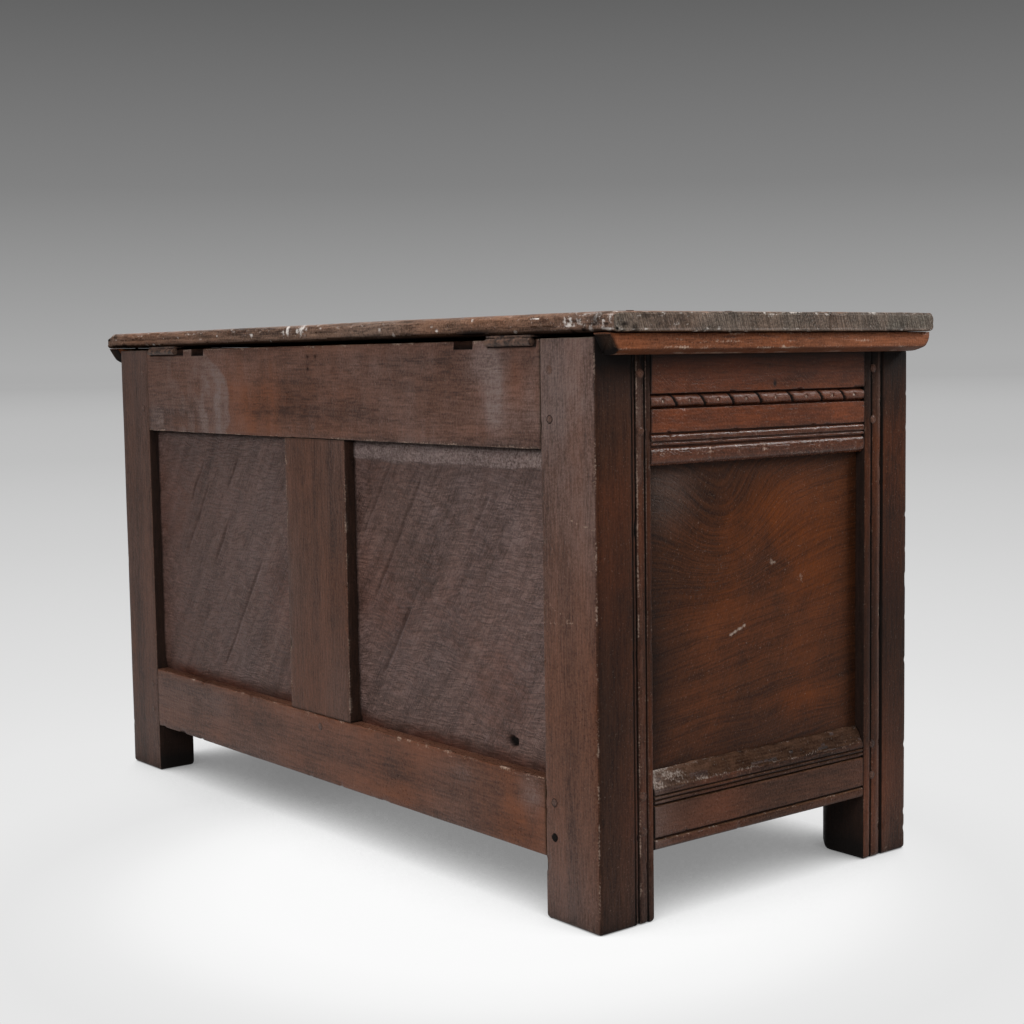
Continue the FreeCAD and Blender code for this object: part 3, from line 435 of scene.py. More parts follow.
for node in ("stile_back_left", "stile_back_right", "stile_front_left", "stile_front_right"):
    left, back = node.endswith("left"), "back" in node
    post = BACK_POST if back else FRONT_POST
    low, high = span(node)
    seed = number_of(node)
    spot, way, finish = carried(2, rounded(post_plan(node, left, back, post), 2.5 * MM),
                                steps(low[2], high[2], 2.6 * MM), seed, rub=0.9 * MM, chip=post["chip"],
                                ends=(FOOT_RADIUS, TOP_RADIUS))
    x, y, z = parted(spot)
    rubbed, grime_and_shade, bloom_and_sheen, warm = parted(finish)
    to_face = held(way[..., 1] if back else -way[..., 1]) ** 2
    to_end = held(-way[..., 0] if left else way[..., 0]) ** 2
    inside = held(1 - to_face - to_end)
    grey = back * to_face
    cloud = drift(spot, (90, 90, 200), seed + 5)
    deep = high[1] - y if back else y - low[1]
    from_end = x - low[0] if left else high[0] - x
    rise = z - low[2]
    enclosed = held((np.minimum(deep, from_end) - INSIDE_DEPTH) / (6 * MM))
    enclosed *= held((z - INSIDE_LEVEL) / (40 * MM))
    bead = bell(deep - post["bead"], BEAD_REACH)
    rubbed *= np.where(to_face > 0.25, 0.7, 0.3)
    rubbed += 0.5 * fading(rise, 6 * MM) * held(2 * drift(spot, 9, seed + 7) - 0.1)
    if node == "stile_back_left":
        rubbed += 0.2 * to_face * sum(scored(x, z, start, end, SCRATCH_WIDTH) for start, end in SCRATCHES)
    # Darker towards the foot; the inner faces carry painted shade, less of it up inside the chest.
    grime_and_shade += 0.5 * fading(rise, 14 * MM) + (0.85 - 0.55 * enclosed) * inside
    # The far post's back face is painted darker, a painted shade of the light falling off.
    grime_and_shade += (0.0 if left else 0.14) * to_face
    grime_and_shade += to_end * np.clip(0.22 - 0.3 * cloud + 0.3 * bell(z - 330 * MM, 150 * MM), 0, 0.75) * (1 - bead)
    # Painted shadow of the cleat across the top of the end face.
    grime_and_shade += to_end * 0.85 * fading(held(high[2] - CLEAT_DROP - z), 26 * MM)
    # Painted sheen near the top of the back face, stronger on the near post and weaker on the far one, and a
    # painted highlight down the bead, both laid in the bloom share.
    painted_top_sheen = (0.6 if left else 0.3) * bell(z - 560 * MM, 140 * MM)
    painted_bead_highlight = bead * (0.3 + 0.6 * bell(z - 540 * MM, 100 * MM))
    painted_bead_highlight *= held(0.9 + drift(spot, (ANY, ANY, 30), seed + 6))
    bloom_and_sheen += grey * held((0.18 if left else 0.1) + 0.25 * cloud + painted_top_sheen) + to_end * painted_bead_highlight
    bloom_and_sheen += 0.3 * (to_face + to_end) * fading(rise, 80 * MM)
    warm += held(0.3 + 0.45 * cloud) * to_end + 0.4 * grey * bell(z - 220 * MM, 160 * MM)
    piece = timber(node, "carcass", (frame_oak, end_oak), 2, spot, finish)
    refaced(piece, waxed_oak, (-1 if left else 1, 0, 0))

# Back rails and muntin. Plain sawn oak, with the saw's and the scrub plane's marks left on: nobody was to see
# the back. The top rail is notched for the hinges, and for an older pair whose slots are still open.
RAIL_RADIUS, SILL_RADIUS = 1.3 * MM, 1.6 * MM
HINGE_ROOM = 0.6 * MM
LEAF_HALF = 1.1 * MM
KNUCKLE_STARTS = {"left": -427.5 * MM, "right": 325 * MM}
OLD_SLOTS = np.array(((-321, -287), (269, 302))) * MM
OLD_SLOT_FRONT, OLD_SLOT_DEPTH = 10 * MM, 9 * MM
WALL_NUDGE = 0.05 * MM
SMEAR_EDGE, SMEAR_END, SMEAR_LEVEL = 198 * MM, 390 * MM, 535 * MM
SMEAR_BENDS = (19.6, 5.0)
STREAKED = ((400, 510, 20, 20, 1.2),)
SMEARS = ((-357, 550, 13, 40, 1.0), (-335, 575, 16, 20, 0.7), (-400, 520, 50, 40, 0.35))
RUSTS = ((120, 525, 100, 40, 1.0), (-40, 530, 120, 50, 0.5), (-395, 560, 15, 30, 0.5))
DULLED = ((-150, 550, 250, 60, 0.3),)
NAIL_MARKS = [(across, up, 2.6, 2.2, 1.3) for across, up in ((9, 586), (-9, 586), (8.5, 572))]
SILL_SMEARS = ((-410, 130, 17, 20, 0.9), (-291, 128, 16, 8, 0.5))


def soft_patches(wide, tall, marks):
    """Soft patches on an upright face, added up. Each mark has its place across and up and its reach across
    and up, all in millimetres, and its strength."""
    return sum(strength * bell(wide - across * MM, reach * MM) * bell(tall - up * MM, rise * MM)
               for across, up, reach, rise, strength in marks)


def squared(low, high, axis, radius=RAIL_RADIUS):
    """A rectangle across an axis, between two corners, as outline corners with one radius."""
    first, second = (axis + 1) % 3, (axis + 2) % 3
    return [(low[first], low[second], radius), (high[first], low[second], radius),
            (high[first], high[second], radius), (low[first], high[second], radius)]


def lowered(spot, notches):
    """Brings the surface down to each notch's floor, inside its stretch of X and behind its front."""
    x, y, z = parted(spot)
    for start, end, front, floor in notches:
        z = np.where((x > start) & (x < end) & (y > front), np.minimum(z, floor), z)
    return np.stack([x, y, z], -1)


inner_left, inner_right = span("stile_back_left")[1][0], span("stile_back_right")[0][0]
low, high = span("rail_back_top")
low[0], high[0] = inner_left, inner_right
notches = [(start, end, high[1] - OLD_SLOT_FRONT, high[2] - OLD_SLOT_DEPTH) for start, end in OLD_SLOTS]
for side, knuckle_start in KNUCKLE_STARTS.items():
    leaf_low, leaf_high = span(f"hinge_{side}_frame_leaf")
    knuckle = leaf_high[2] - leaf_low[2]
    start, end = leaf_low[0] - HINGE_ROOM, leaf_high[0] + HINGE_ROOM
    notches.append((start, end, leaf_low[1] - HINGE_ROOM, leaf_low[2] + knuckle / 2 - LEAF_HALF))
    notches.append((min(knuckle_start, start), end, leaf_high[1] - knuckle - HINGE_ROOM,
                    leaf_low[2] - HINGE_ROOM))
walls = [edge + nudge for notch in notches for edge in notch[:2] for nudge in (-WALL_NUDGE, WALL_NUDGE)]
path = np.unique(np.concatenate([steps(low[0], high[0], 3 * MM), walls]))
seed = number_of("rail_back_top")
spot, way, finish = carried(0, rounded(squared(low, high, 0), 3 * MM), path, seed, seam=0.4)
spot = lowered(spot, notches)
x, y, z = parted(spot)
rubbed, grime_and_shade, bloom_and_sheen, warm = parted(finish)
to_back = held(way[..., 1]) ** 2
streak = 0.7 * drift(spot, (9, 60, 40), seed + 5) + 0.6 * drift(spot, (22, 60, 22), seed + 7)
cloud = drift(spot, (130, 60, 90), seed + 6)
bend = np.where(z > SMEAR_LEVEL, *SMEAR_BENDS)
past = x - SMEAR_EDGE - bend * (z - SMEAR_LEVEL) ** 2 - 7 * MM * drift(spot, (40, ANY, 16), seed + 8)
swept = held(past / (9 * MM)) * fading(past, 45 * MM)
combed = held(past / (30 * MM)) * held((SMEAR_END - x) / (60 * MM)) * held(1.8 * streak)
smear = 0.8 * swept + 0.6 * combed + soft_patches(x, z, STREAKED) * held(0.5 + streak) + soft_patches(x, z, SMEARS)
rust = soft_patches(x, z, RUSTS)
in_notch = np.any([(x > start) & (x < end) & (y > front) & (z > floor - 1 * MM)
                   for start, end, front, floor in notches], axis=0)
rubbed += 0.22 * to_back * smear * held(streak)
# Painted shade fills the notches and darkens every face but the back.
grime_and_shade[:] = np.where(in_notch, 1.0, grime_and_shade + 0.6 * (1 - to_back)) + soft_patches(x, z, NAIL_MARKS)
dull = 0.18 + 0.2 * cloud + 0.15 * streak + soft_patches(x, z, DULLED)
bloom_and_sheen += to_back * held(dull + 1.1 * smear - 0.3 * rust)
warm += to_back * held(0.2 + 0.8 * rust + 0.3 * cloud)
timber("rail_back_top", "carcass", (frame_oak, end_oak), 0, spot, finish)

low, high = span("rail_back_bottom")
low[0], high[0] = inner_left, inner_right
seed = number_of("rail_back_bottom")
spot, way, finish = carried(0, rounded(squared(low, high, 0, SILL_RADIUS), 3.5 * MM),
                            steps(low[0], high[0], 3 * MM), seed, rub=0.8 * MM, chip=2.0 * MM, wave=0.5 * MM,
                            seam=0.4)
x, y, z = parted(spot)
rubbed, grime_and_shade, bloom_and_sheen, warm = parted(finish)
to_back = held(way[..., 1]) ** 2
cloud = drift(spot, (110, 60, 50), seed + 5)
top_arris = bell(y - high[1], 12 * MM) * bell(z - high[2], 9 * MM)
rubbed *= 0.25
rubbed += 0.3 * top_arris * held(2 * drift(spot, (9, 5, 5), seed + 6) - 0.7)
# Painted shade on the underside and the inner face.
grime_and_shade += 0.5 * held(-way[..., 2]) + 0.5 * held(-way[..., 1])
bloom_and_sheen += to_back * held(0.2 + 0.25 * cloud + soft_patches(x, z, SILL_SMEARS))
warm += to_back * held(0.6 - 0.45 * cloud + 0.5 * top_arris)
timber("rail_back_bottom", "carcass", (frame_oak, end_oak), 0, spot, finish)

low, high = span("muntin_back")
low[2], high[2] = span("rail_back_bottom")[1][2], span("rail_back_top")[0][2]
seed = number_of("muntin_back")
spot, way, finish = carried(2, rounded(squared(low, high, 2), 4 * MM), steps(low[2], high[2], 3 * MM), seed,
                            seam=0.4)
rubbed, grime_and_shade, bloom_and_sheen, warm = parted(finish)
to_back = held(way[..., 1]) ** 2
cloud = drift(spot, (60, 60, 140), seed + 5)
# Painted shade on the muntin's sides and front, and a little darkening on its back.
grime_and_shade += 0.75 * (1 - to_back) + 0.13 * to_back
bloom_and_sheen += to_back * (0.2 + 0.2 * cloud)
warm += to_back * held(0.25 - 0.3 * cloud)
timber("muntin_back", "carcass", (frame_oak, end_oak), 2, spot, finish)

# Back panels. Riven and scrub-planed oak boards, feathered on the inside and loose in the grooves. The
# outside keeps the plane's long slanting tracks and the ripple of the rays. One has a knot fallen out.
PANEL_TONGUE, PANEL_BEVEL = 8 * MM, 42 * MM
GROOVE_DEPTH = 6 * MM
FLAT = 1000
TOOL_WAY = np.array([0.57, -0.82])
TRACKS = {
    "panel_back_right": ((298, 453, 80), (286, 418, 128), (235, 371, 75), (151, 326, 190), (205, 460, 60)),
    "panel_back_left": ((-209, 452, 185), (-150, 470, 120), (-330, 440, 70), (-180, 300, 110)),
}
RUBS = ((-237, 181, 11, 7, 0.6), (-313, 170, 14, 8, 0.6), (-340, 288, 8, 9, 0.6))
KNOT, KNOT_HALF = np.array((-362, 173)) * MM, np.array((8.5, 6.5)) * MM


def sheet(axis, face, wide, tall, pace):
    """A panel's flat face as a grid of points: paces across and up its opening, and on into the grooves."""
    across, up = (steps(start - GROOVE_DEPTH, end + GROOVE_DEPTH, pace) for start, end in (wide, tall))
    maps = list(np.meshgrid(across, up, indexing="ij"))
    maps.insert(axis, np.full_like(maps[0], face))
    return np.stack(maps, -1)


def plate(node, material, axis, inward, spot, sunk, finish, grain):
    """A panel from its flat face. The outside lies sunk below the face. The inside is feathered: its tongue's
    thickness at the rim, its field's past the bevel. Both are maps over one grid, joined round the rim."""
    thickness = np.subtract(*span(node)[::-1])[axis]
    rows, columns = sunk.shape
    first, second = (spot[..., n] for n in range(3) if n != axis)
    edges = [edge for wide in (first, second) for edge in (wide - wide[0, 0], wide[-1, -1] - wide)]
    to_edge = np.min(edges, axis=0)
    points = np.stack([spot, spot])
    points[0, ..., axis] += inward * sunk
    points[1, ..., axis] += inward * (PANEL_TONGUE + (thickness - PANEL_TONGUE) * held(to_edge / PANEL_BEVEL))
    index = np.arange(2 * rows * columns).reshape(2, rows, columns)
    faces = [np.stack([side[:-1, :-1], side[1:, :-1], side[1:, 1:], side[:-1, 1:]], -1).reshape(-1, 4)
             for side in index]
    rim = [np.concatenate([side[:-1, 0], side[-1, :-1], side[:0:-1, -1], side[0, :0:-1]]) for side in index]
    wall = np.stack([rim[0], rim[1], np.roll(rim[1], -1), np.roll(rim[0], -1)], -1)
    quads = np.concatenate([faces[0], faces[1][:, ::-1], wall])
    grain = grain.reshape(-1, 3) + 0.37 * number_of(node)
    piece = solid(f"worn_{node}", points.reshape(-1, 3), quads, [], np.tile(grain, (2, 1)),
                  np.tile(finish.reshape(-1, 4), (2, 1)), (material,))
    return settled(piece, node, "carcass")


panel_oak = aged_oak("panel_oak", dark=(38, 25, 20), light=(130, 103, 94), warm=(116, 62, 42),
                     bloom=(128, 110, 107), bare=(164, 146, 140), roughness=0.34, figure=0.65, fibres=0.3,
                     bands=0.6)
muntin_low, muntin_high = span("muntin_back")
opening_low, opening_high = span("rail_back_bottom")[1][2], span("rail_back_top")[0][2]
for node, start, end in (("panel_back_left", inner_left, muntin_low[0]),
                         ("panel_back_right", muntin_high[0], inner_right)):
    seed = number_of(node)
    spot = sheet(1, span(node)[1][1], (start, end), (opening_low, opening_high), 2 * MM)
    x, _, z = parted(spot)
    finish = np.zeros(x.shape + (4,))
    rubbed, grime_and_shade, bloom_and_sheen, warm = parted(finish)
    slanted = np.stack([x * TOOL_WAY[0] + z * TOOL_WAY[1], x * TOOL_WAY[1] - z * TOOL_WAY[0], 0 * x], -1)
    scrub, cloud = drift(spot, (28, FLAT, 60), seed), drift(spot, (110, FLAT, 110), seed + 1)
    hewn, lumps = drift(slanted, (100, 13, FLAT), seed + 6), drift(spot, (11, FLAT, 6), seed + 7)
    under_rail, over_sill, to_side = opening_high - z, z - opening_low, np.minimum(x - start, end - x)
    foot = bell(over_sill, 11 * MM)
    sunk = MM * (0.25 * (1 + scrub) + 0.35 * (1 - hewn) + 0.3 * (1 - lumps))
    sunk += 2 * MM * held(1 - over_sill / (14 * MM))
    # Painted shade along the rails and the muntin, where the panel sinks under them, and over the sill.
    grime_and_shade += 0.3 * foot + 0.8 * bell(to_side, 3 * MM) + 0.8 * bell(under_rail, 2.5 * MM)
    # Painted relief shading: shade in the hollows of the scrub and the ripple, and light on their ridges.
    grime_and_shade += 0.2 * held(-hewn - 0.3) + 0.2 * held(-lumps - 0.35)
    bloom_and_sheen += held(0.34 + 0.4 * cloud - 0.7 * foot) + 0.15 * held(hewn) + 0.15 * lumps
    warm += held(0.8 * foot + 0.15 - 0.3 * cloud)
    if node == "panel_back_left":
        ragged = 22 * MM + 4 * MM * drift(spot, (35, FLAT, FLAT), seed + 2)
        strip = held((ragged - under_rail) / (2 * MM))
        torn = 1 + 0.35 * drift(spot, (7, FLAT, 7), seed + 5)
        hole = bell(np.hypot((x - KNOT[0]) / KNOT_HALF[0], (z - KNOT[1]) / KNOT_HALF[1]), torn, 8)
        sunk += 5 * MM * hole + 0.8 * MM * (1 - strip)
        rubbed += strip * (0.25 + 0.08 * cloud)
        # The knot hole is painted dark, a painted shade inside it.
        grime_and_shade[:] = np.maximum(grime_and_shade, 1.3 * hole)
        bloom_and_sheen[:] = held(bloom_and_sheen) + strip * (0.9 + 0.2 * cloud)
        bloom_and_sheen += soft_patches(x, z, RUBS) * held(0.6 + drift(spot, (5, FLAT, 12), seed + 8))
        warm *= 1 - strip
    wander = 2 * MM * drift(spot, (30, FLAT, 30), seed + 9)
    for mark_x, mark_z, length in np.array(TRACKS[node]) * MM:
        along = (x - mark_x) * TOOL_WAY[0] + (z - mark_z) * TOOL_WAY[1]
        aside = (x - mark_x) * TOOL_WAY[1] - (z - mark_z) * TOOL_WAY[0] + wander
        reach = held(np.minimum(along, length - along) / (15 * MM))
        sunk += 1.1 * MM * reach * bell(aside, 2.5 * MM)
        # Each track is painted with shade along one side and a highlight along the other.
        grime_and_shade += 0.35 * reach * bell(aside + 2 * MM, 2 * MM)
        bloom_and_sheen += 0.5 * reach * bell(aside - 2.5 * MM, 1.8 * MM)
    sway = MM * (6 * drift(spot, (60, FLAT, 40), seed + 3) + 2 * drift(spot, (18, FLAT, 30), seed + 4))
    plate(node, panel_oak, 1, -1, spot, sunk, finish, np.stack([z + sway, -slanted[..., 1], 0 * x], -1))

# End rails. Each end has a top rail with a cable bead over a run moulding, and a weathered bottom rail whose
# top edge is chamfered. Planes and scratch stocks cut the runs, and a gouge and punch the cable.
END_TOP = ((30, 130.5, 1.0), (0, 130.5, 1.2), (0, 73.2, 0.5), (6.2, 72.8, 0.15), (6.2, 72.2, 0.15),
           (0.2, 72.0, 5.6), (0.2, 59.0, 5.6), (6.2, 58.8, 0.15), (6.2, 58.2, 0.15), (0, 57.8, 0.5),
           (0, 33.8, 0.5), (3.5, 33.4, 0.15), (3.5, 32.3, 0.15), (0.2, 32.0, 2.9), (0.2, 25.0, 1.6),
           (2.4, 24.7, 0.15), (2.4, 23.8, 0.15), (0.7, 23.5, 1.0), (0.7, 20.6, 1.0), (3, 20.2, 0.15),
           (4.0, 19.0, 0.2), (1.0, 17.0, 1.8), (0, 11.0, 2.6), (0.7, 4.0, 2.4), (5.5, 0, 1.2), (30, 0, 1.0))
END_SILL = ((30, 83, 1.0), (10, 83, 2.5), (0.4, 64.5, 2.0), (0, 57.8, 0.5), (1.6, 57.2, 0.15),
            (1.6, 56.5, 0.15), (0, 56.0, 0.9), (0, 53.2, 0.9), (1.6, 52.7, 0.15), (1.6, 52.0, 0.15),
            (0, 51.5, 0.5), (0, 48.6, 0.5), (3.0, 48.0, 0.15), (3.0, 46.8, 0.15), (0, 46.2, 0.5),
            (0, 13.4, 0.5), (3.0, 12.7, 0.15), (3.0, 11.2, 0.15), (0, 10.8, 2.2), (0, 0, 3.2), (30, 0, 1.0))
SLOPE_LEVEL = 62 * MM
CABLE_RUN = 5
CABLE_MIDDLE, CABLE_HALF, CABLE_DEPTH = 65.5 * MM, 7 * MM, 7 * MM
CABLE_CUTS = np.array((142.5, 101.5, 59.5, 17.5, -31.5, -79.5, -116.5)) * MM
CUT_LEAN = 0.75
CUT_HALF, CUT_DEPTH = 3.2 * MM, 3.4 * MM
PUNCH_RADIUS, PUNCH_TIP, PUNCH_DEPTH = 2.4 * MM, 1.2 * MM, 1.3 * MM
NAIL_HOLE = ((-4.5, 550, 2.2, 2.8, 1.6),)

rail_oak = aged_oak("rail_oak", dark=(40, 20, 12), light=(101, 57, 37), warm=(144, 72, 34),
                    bloom=(104, 88, 82), bare=(184, 160, 144), roughness=0.24, figure=0.08, silk=0.35,
                    shine=0.2)
dry_oak = aged_oak("dry_oak", dark=(50, 33, 24), light=(98, 69, 51), warm=(112, 70, 42), bloom=(112, 98, 90),
                   bare=(190, 176, 166), roughness=0.7, figure=0.1, shine=0.0)


def moulding(node, section):
    """An end rail's section as outline corners in height and X, measured in from its outer face."""
    low, high = span(node)
    deep, height, radius = np.array(section).T * MM
    x = low[0] + deep if low[0] < 0 else high[0] - deep
    return np.stack([low[2] + height, x, radius], 1)


end_paces = np.where(np.arange(len(END_TOP)) == CABLE_RUN, 1.1 * MM, 2.4 * MM)
front_left, back_left = span("stile_front_left"), span("stile_back_left")
end_run = (front_left[1][1], back_left[0][1])
for side, inward in (("left", 1), ("right", -1)):
    node = f"rail_end_{side}_top"
    low, high = span(node)
    outer = low[0] if side == "left" else high[0]
    seed = number_of(node)
    path = steps(*end_run, 1.3 * MM)
    spot, way, finish = carried(1, rounded(moulding(node, END_TOP), end_paces), path, seed, rub=0.3 * MM,
                                chip=0.9 * MM, seam=1.0)
    x, y, z = parted(spot)
    rubbed, grime_and_shade, bloom_and_sheen, warm = parted(finish)
    rise = z - low[2] - CABLE_MIDDLE
    on_cable = (np.abs(rise) < CABLE_HALF) * held(1 - np.abs(x - outer) / CABLE_DEPTH)
    stops = np.concatenate([[path[-1]], CABLE_CUTS, [path[0]]])
    dots = (stops[:-1] + stops[1:]) / 2
    to_cut = np.min(np.abs((y - CUT_LEAN * rise)[..., None] - CABLE_CUTS), axis=-1)
    to_dot = np.hypot(np.min(np.abs(y[..., None] - dots), axis=-1), rise)
    notch = on_cable * held(1 - to_cut / CUT_HALF)
    punch = on_cable * bell(to_dot, PUNCH_RADIUS, 4)
    x += inward * (CUT_DEPTH * notch + PUNCH_DEPTH * punch)
    to_end = held(-inward * way[..., 0]) ** 2
    cloud = drift(spot, (60, 120, 60), seed + 5)
    rubbed *= 0.3 * (1 - on_cable)
    rubbed += 0.8 * on_cable * bell(to_dot, PUNCH_TIP, 4)
    # Painted shade in the cable's cuts and punch holes.
    grime_and_shade[:] = held(0.7 * grime_and_shade + 0.9 * (notch > 0.25) + 0.8 * punch * (to_dot > PUNCH_TIP))
    # A painted shadow under the cleat, and painted shade on the inner face.
    grime_and_shade += 0.95 * fading(held(high[2] - CLEAT_DROP - z), 20 * MM) + 0.6 * held(inward * way[..., 0])
    grime_and_shade += soft_patches(y, z, NAIL_HOLE)
    bloom_and_sheen += to_end * held(0.05 + 0.1 * cloud + 0.3 * on_cable)
    warm += to_end * held((z - low[2] - 30 * MM) / (10 * MM)) * held(0.85 + 0.4 * cloud)
    timber(node, "carcass", (rail_oak,), 1, spot, finish)

    node = f"rail_end_{side}_bottom"
    seed = number_of(node)
    path = steps(*end_run, 2 * MM)
    spot, way, finish = carried(1, rounded(moulding(node, END_SILL), 3 * MM), path, seed, rub=0.3 * MM,
                                chip=1.0 * MM, seam=1.0)
    x, y, z = parted(spot)
    rubbed, grime_and_shade, bloom_and_sheen, warm = parted(finish)
    slope = held(1.6 * way[..., 2]) * (z > span(node)[0][2] + SLOPE_LEVEL)
    crumble = drift(spot, (9, 9, 7), seed + 7)
    spot -= way * (slope * MM * (0.6 * (1 + crumble) + 0.5 * (1 + drift(spot, 50, seed + 8))))[..., None]
    to_end = held(-inward * way[..., 0]) ** 2
    near_post = fading(path[-1] - y, 45 * MM) + 0.2 * fading(y - path[0], 30 * MM)
    rubbed *= 0.3
    rubbed += slope * np.clip(0.5 * near_post + 0.3 * crumble - 0.12, 0, 0.7)
    # Painted shade on the underside and the inner face.
    grime_and_shade += 0.3 * held(-way[..., 2]) + 0.6 * held(inward * way[..., 0])
    grime_and_shade += slope * np.clip(0.55 - 0.9 * near_post + 0.3 * crumble, 0, 0.9)
    bloom_and_sheen += slope * held(0.05 + 0.4 * near_post) + to_end * held(0.12 + 0.7 * near_post ** 2)
    warm += to_end * held(0.2 + 0.35 * drift(spot, 80, seed + 5))
    piece = timber(node, "carcass", (waxed_oak,), 1, spot, finish)
    refaced(piece, dry_oak, (0, 0, 1))

# End panels. One wide quartered board in each end, feathered on the inside. Years of wax have left the middle
# a clear orange brown; the edges are darker from dirt and painted shade, and a painted shadow falls down the
# side by the back stile. The figure swirls round a hidden knot.
SWIRL, SWIRL_REACH = np.array((60, 405)) * MM, 75 * MM
SLOPE_MIDDLE = 20 * MM
MARGIN_REACH = 24 * MM
# A painted shadow band down the panel beside the back stile.
PAINTED_SHADOW_BAND, CLOUDED = ((170, 250, 30, 90, 0.4),), ((150, 440, 50, 40, 0.5),)
GLOWS = ((-35, 365, 110, 90, 0.9), (55, 405, 14, 30, 0.5), (-70, 195, 60, 25, 0.5))
SCRATCH, SCRATCH_HALF = np.array(((52, 283), (30, 291))) * MM, 1.1 * MM
CHIPS, CHIPS_HALF = np.array(((-13, 357), (-99, 321))) * MM, 5 * MM


def edge_dirt_and_shade(wide, tall, foot=1):
    """Dirt and painted shade at a panel's edges: 1 at the rim, fading inward, and over the sill faster by
    foot.
    """
    to_side = np.minimum(wide - wide.min(), wide.max() - wide)
    to_rail = np.minimum(tall.max() - tall, foot * (tall - tall.min()))
    return fading(np.minimum(to_side, to_rail), MARGIN_REACH)


end_panel_oak = aged_oak("end_panel_oak", dark=(31, 16, 8), light=(77, 43, 23), warm=(114, 56, 15),
                         bloom=(96, 82, 76), bare=(160, 142, 128), roughness=0.34, figure=0.25, fibres=1.0,
                         bands=0.5, silk=0.2, shine=0.11, fibre_pace=15)
end_opening = (span("rail_end_left_bottom")[1][2], span("rail_end_left_top")[0][2])
for side, inward in (("left", 1), ("right", -1)):
    node = f"panel_end_{side}"
    low, high = span(node)
    seed = number_of(node)
    spot = sheet(0, low[0] if side == "left" else high[0], end_run, end_opening, 2.5 * MM)
    _, y, z = parted(spot)
    finish = np.zeros(y.shape + (4,))
    rubbed, grime_and_shade, bloom_and_sheen, warm = parted(finish)
    twist = bell(np.hypot(y - SWIRL[0], z - SWIRL[1]), SWIRL_REACH)
    roll = MM * (5 * drift(spot, (FLAT, 70, 45), seed + 3) + 1.5 * drift(spot, (FLAT, 20, 20), seed + 4))
    grain = np.stack([y + 0.5 * z, z + 0.06 * twist + 0.12 * (y - SLOPE_MIDDLE) + roll, 0 * y], -1)
    cloud = drift(spot, (FLAT, 70, 70), seed)
    margin = edge_dirt_and_shade(y, z, 2)
    if side == "left":
        flakes = held(2.6 * drift(spot, (FLAT, 6, 5), seed + 6) - 0.7)
        rubbed += 0.75 * scored(y, z, *SCRATCH, SCRATCH_HALF)
        rubbed += 0.4 * flakes * scored(y, z, *CHIPS, CHIPS_HALF)
    # The rim darkens by dirt and painted shade, and the painted shadow band is added.
    grime_and_shade += 0.5 * margin * (1 + 0.4 * cloud) + soft_patches(y, z, PAINTED_SHADOW_BAND)
    bloom_and_sheen += held(soft_patches(y, z, CLOUDED) + 0.1 * cloud)
    warm += held(soft_patches(y, z, GLOWS) + 0.3 + 0.4 * cloud - 0.5 * margin)
    sunk = 0.3 * MM * (1 + drift(spot, (FLAT, 60, 30), seed + 2))
    plate(node, end_panel_oak, 0, inward, spot, sunk, finish, grain)

# Front frame. Three rails and two muntins, planed clean because the front was meant to be seen, with three
# panels over the middle rail and the drawer's opening under it.
FRONT_RADIUS = 2 * MM


def board(node, body, slot, materials, axis, run=None, radius=FRONT_RADIUS, pace=5 * MM, dirt=0.0, **wearing):
    """A squared piece from its node's box, or from a shorter run of it, with a cloudy finish all round."""
    low, high = span(node)
    if run is not None:
        low[axis], high[axis] = run
    seed = number_of(node)
    spot, _, finish = carried(axis, rounded(squared(low, high, axis, radius), pace),
                              steps(low[axis], high[axis], pace), seed, **wearing)
    rubbed, grime_and_shade, bloom_and_sheen, warm = parted(finish)
    cloud = drift(spot, 90, seed + 5)
    rubbed *= 0.35
    grime_and_shade += dirt * (1 + 0.3 * cloud)
    bloom_and_sheen += 0.1 * (1 + cloud)
    warm += 0.35 * (1 + cloud)
    return timber(node, body, materials, axis, spot, finish)


front_rails = ("rail_front_top", "rail_front_middle", "rail_front_bottom")
front_run = (front_left[1][0], span("stile_front_right")[0][0])
front_opening = (span("rail_front_middle")[1][2], span("rail_front_top")[0][2])
for node in front_rails:
    board(node, "carcass", "frame_oak", (frame_oak, end_oak), 0, front_run, seam=1.0)
for node in ("muntin_front_1", "muntin_front_2"):
    board(node, "carcass", "frame_oak", (frame_oak, end_oak), 2, front_opening, seam=1.0)
first_post, second_post = span("muntin_front_1"), span("muntin_front_2")
for node, start, end in (("panel_front_1", front_run[0], first_post[0][0]),
                         ("panel_front_2", first_post[1][0], second_post[0][0]),
                         ("panel_front_3", second_post[1][0], front_run[1])):
    seed = number_of(node)
    spot = sheet(1, span(node)[0][1], (start, end), front_opening, 3 * MM)
    x, _, z = parted(spot)
    cloud = drift(spot, (80, FLAT, 80), seed)
    margin = edge_dirt_and_shade(x, z)
    # The rim darkens by dirt and painted shade.
    finish = np.stack([0 * x, 0.5 * margin, 0.1 + 0.1 * cloud, 0.5 + 0.4 * cloud - 0.4 * margin], -1)
    grain = np.stack([z + 40 * MM * drift(spot, (90, FLAT, 120), seed + 1), x, 0 * x], -1)
    sunk = 0.3 * MM * (1 + drift(spot, (60, FLAT, 40), seed + 2))
    plate(node, end_panel_oak, 1, 1, spot, sunk, finish, grain)

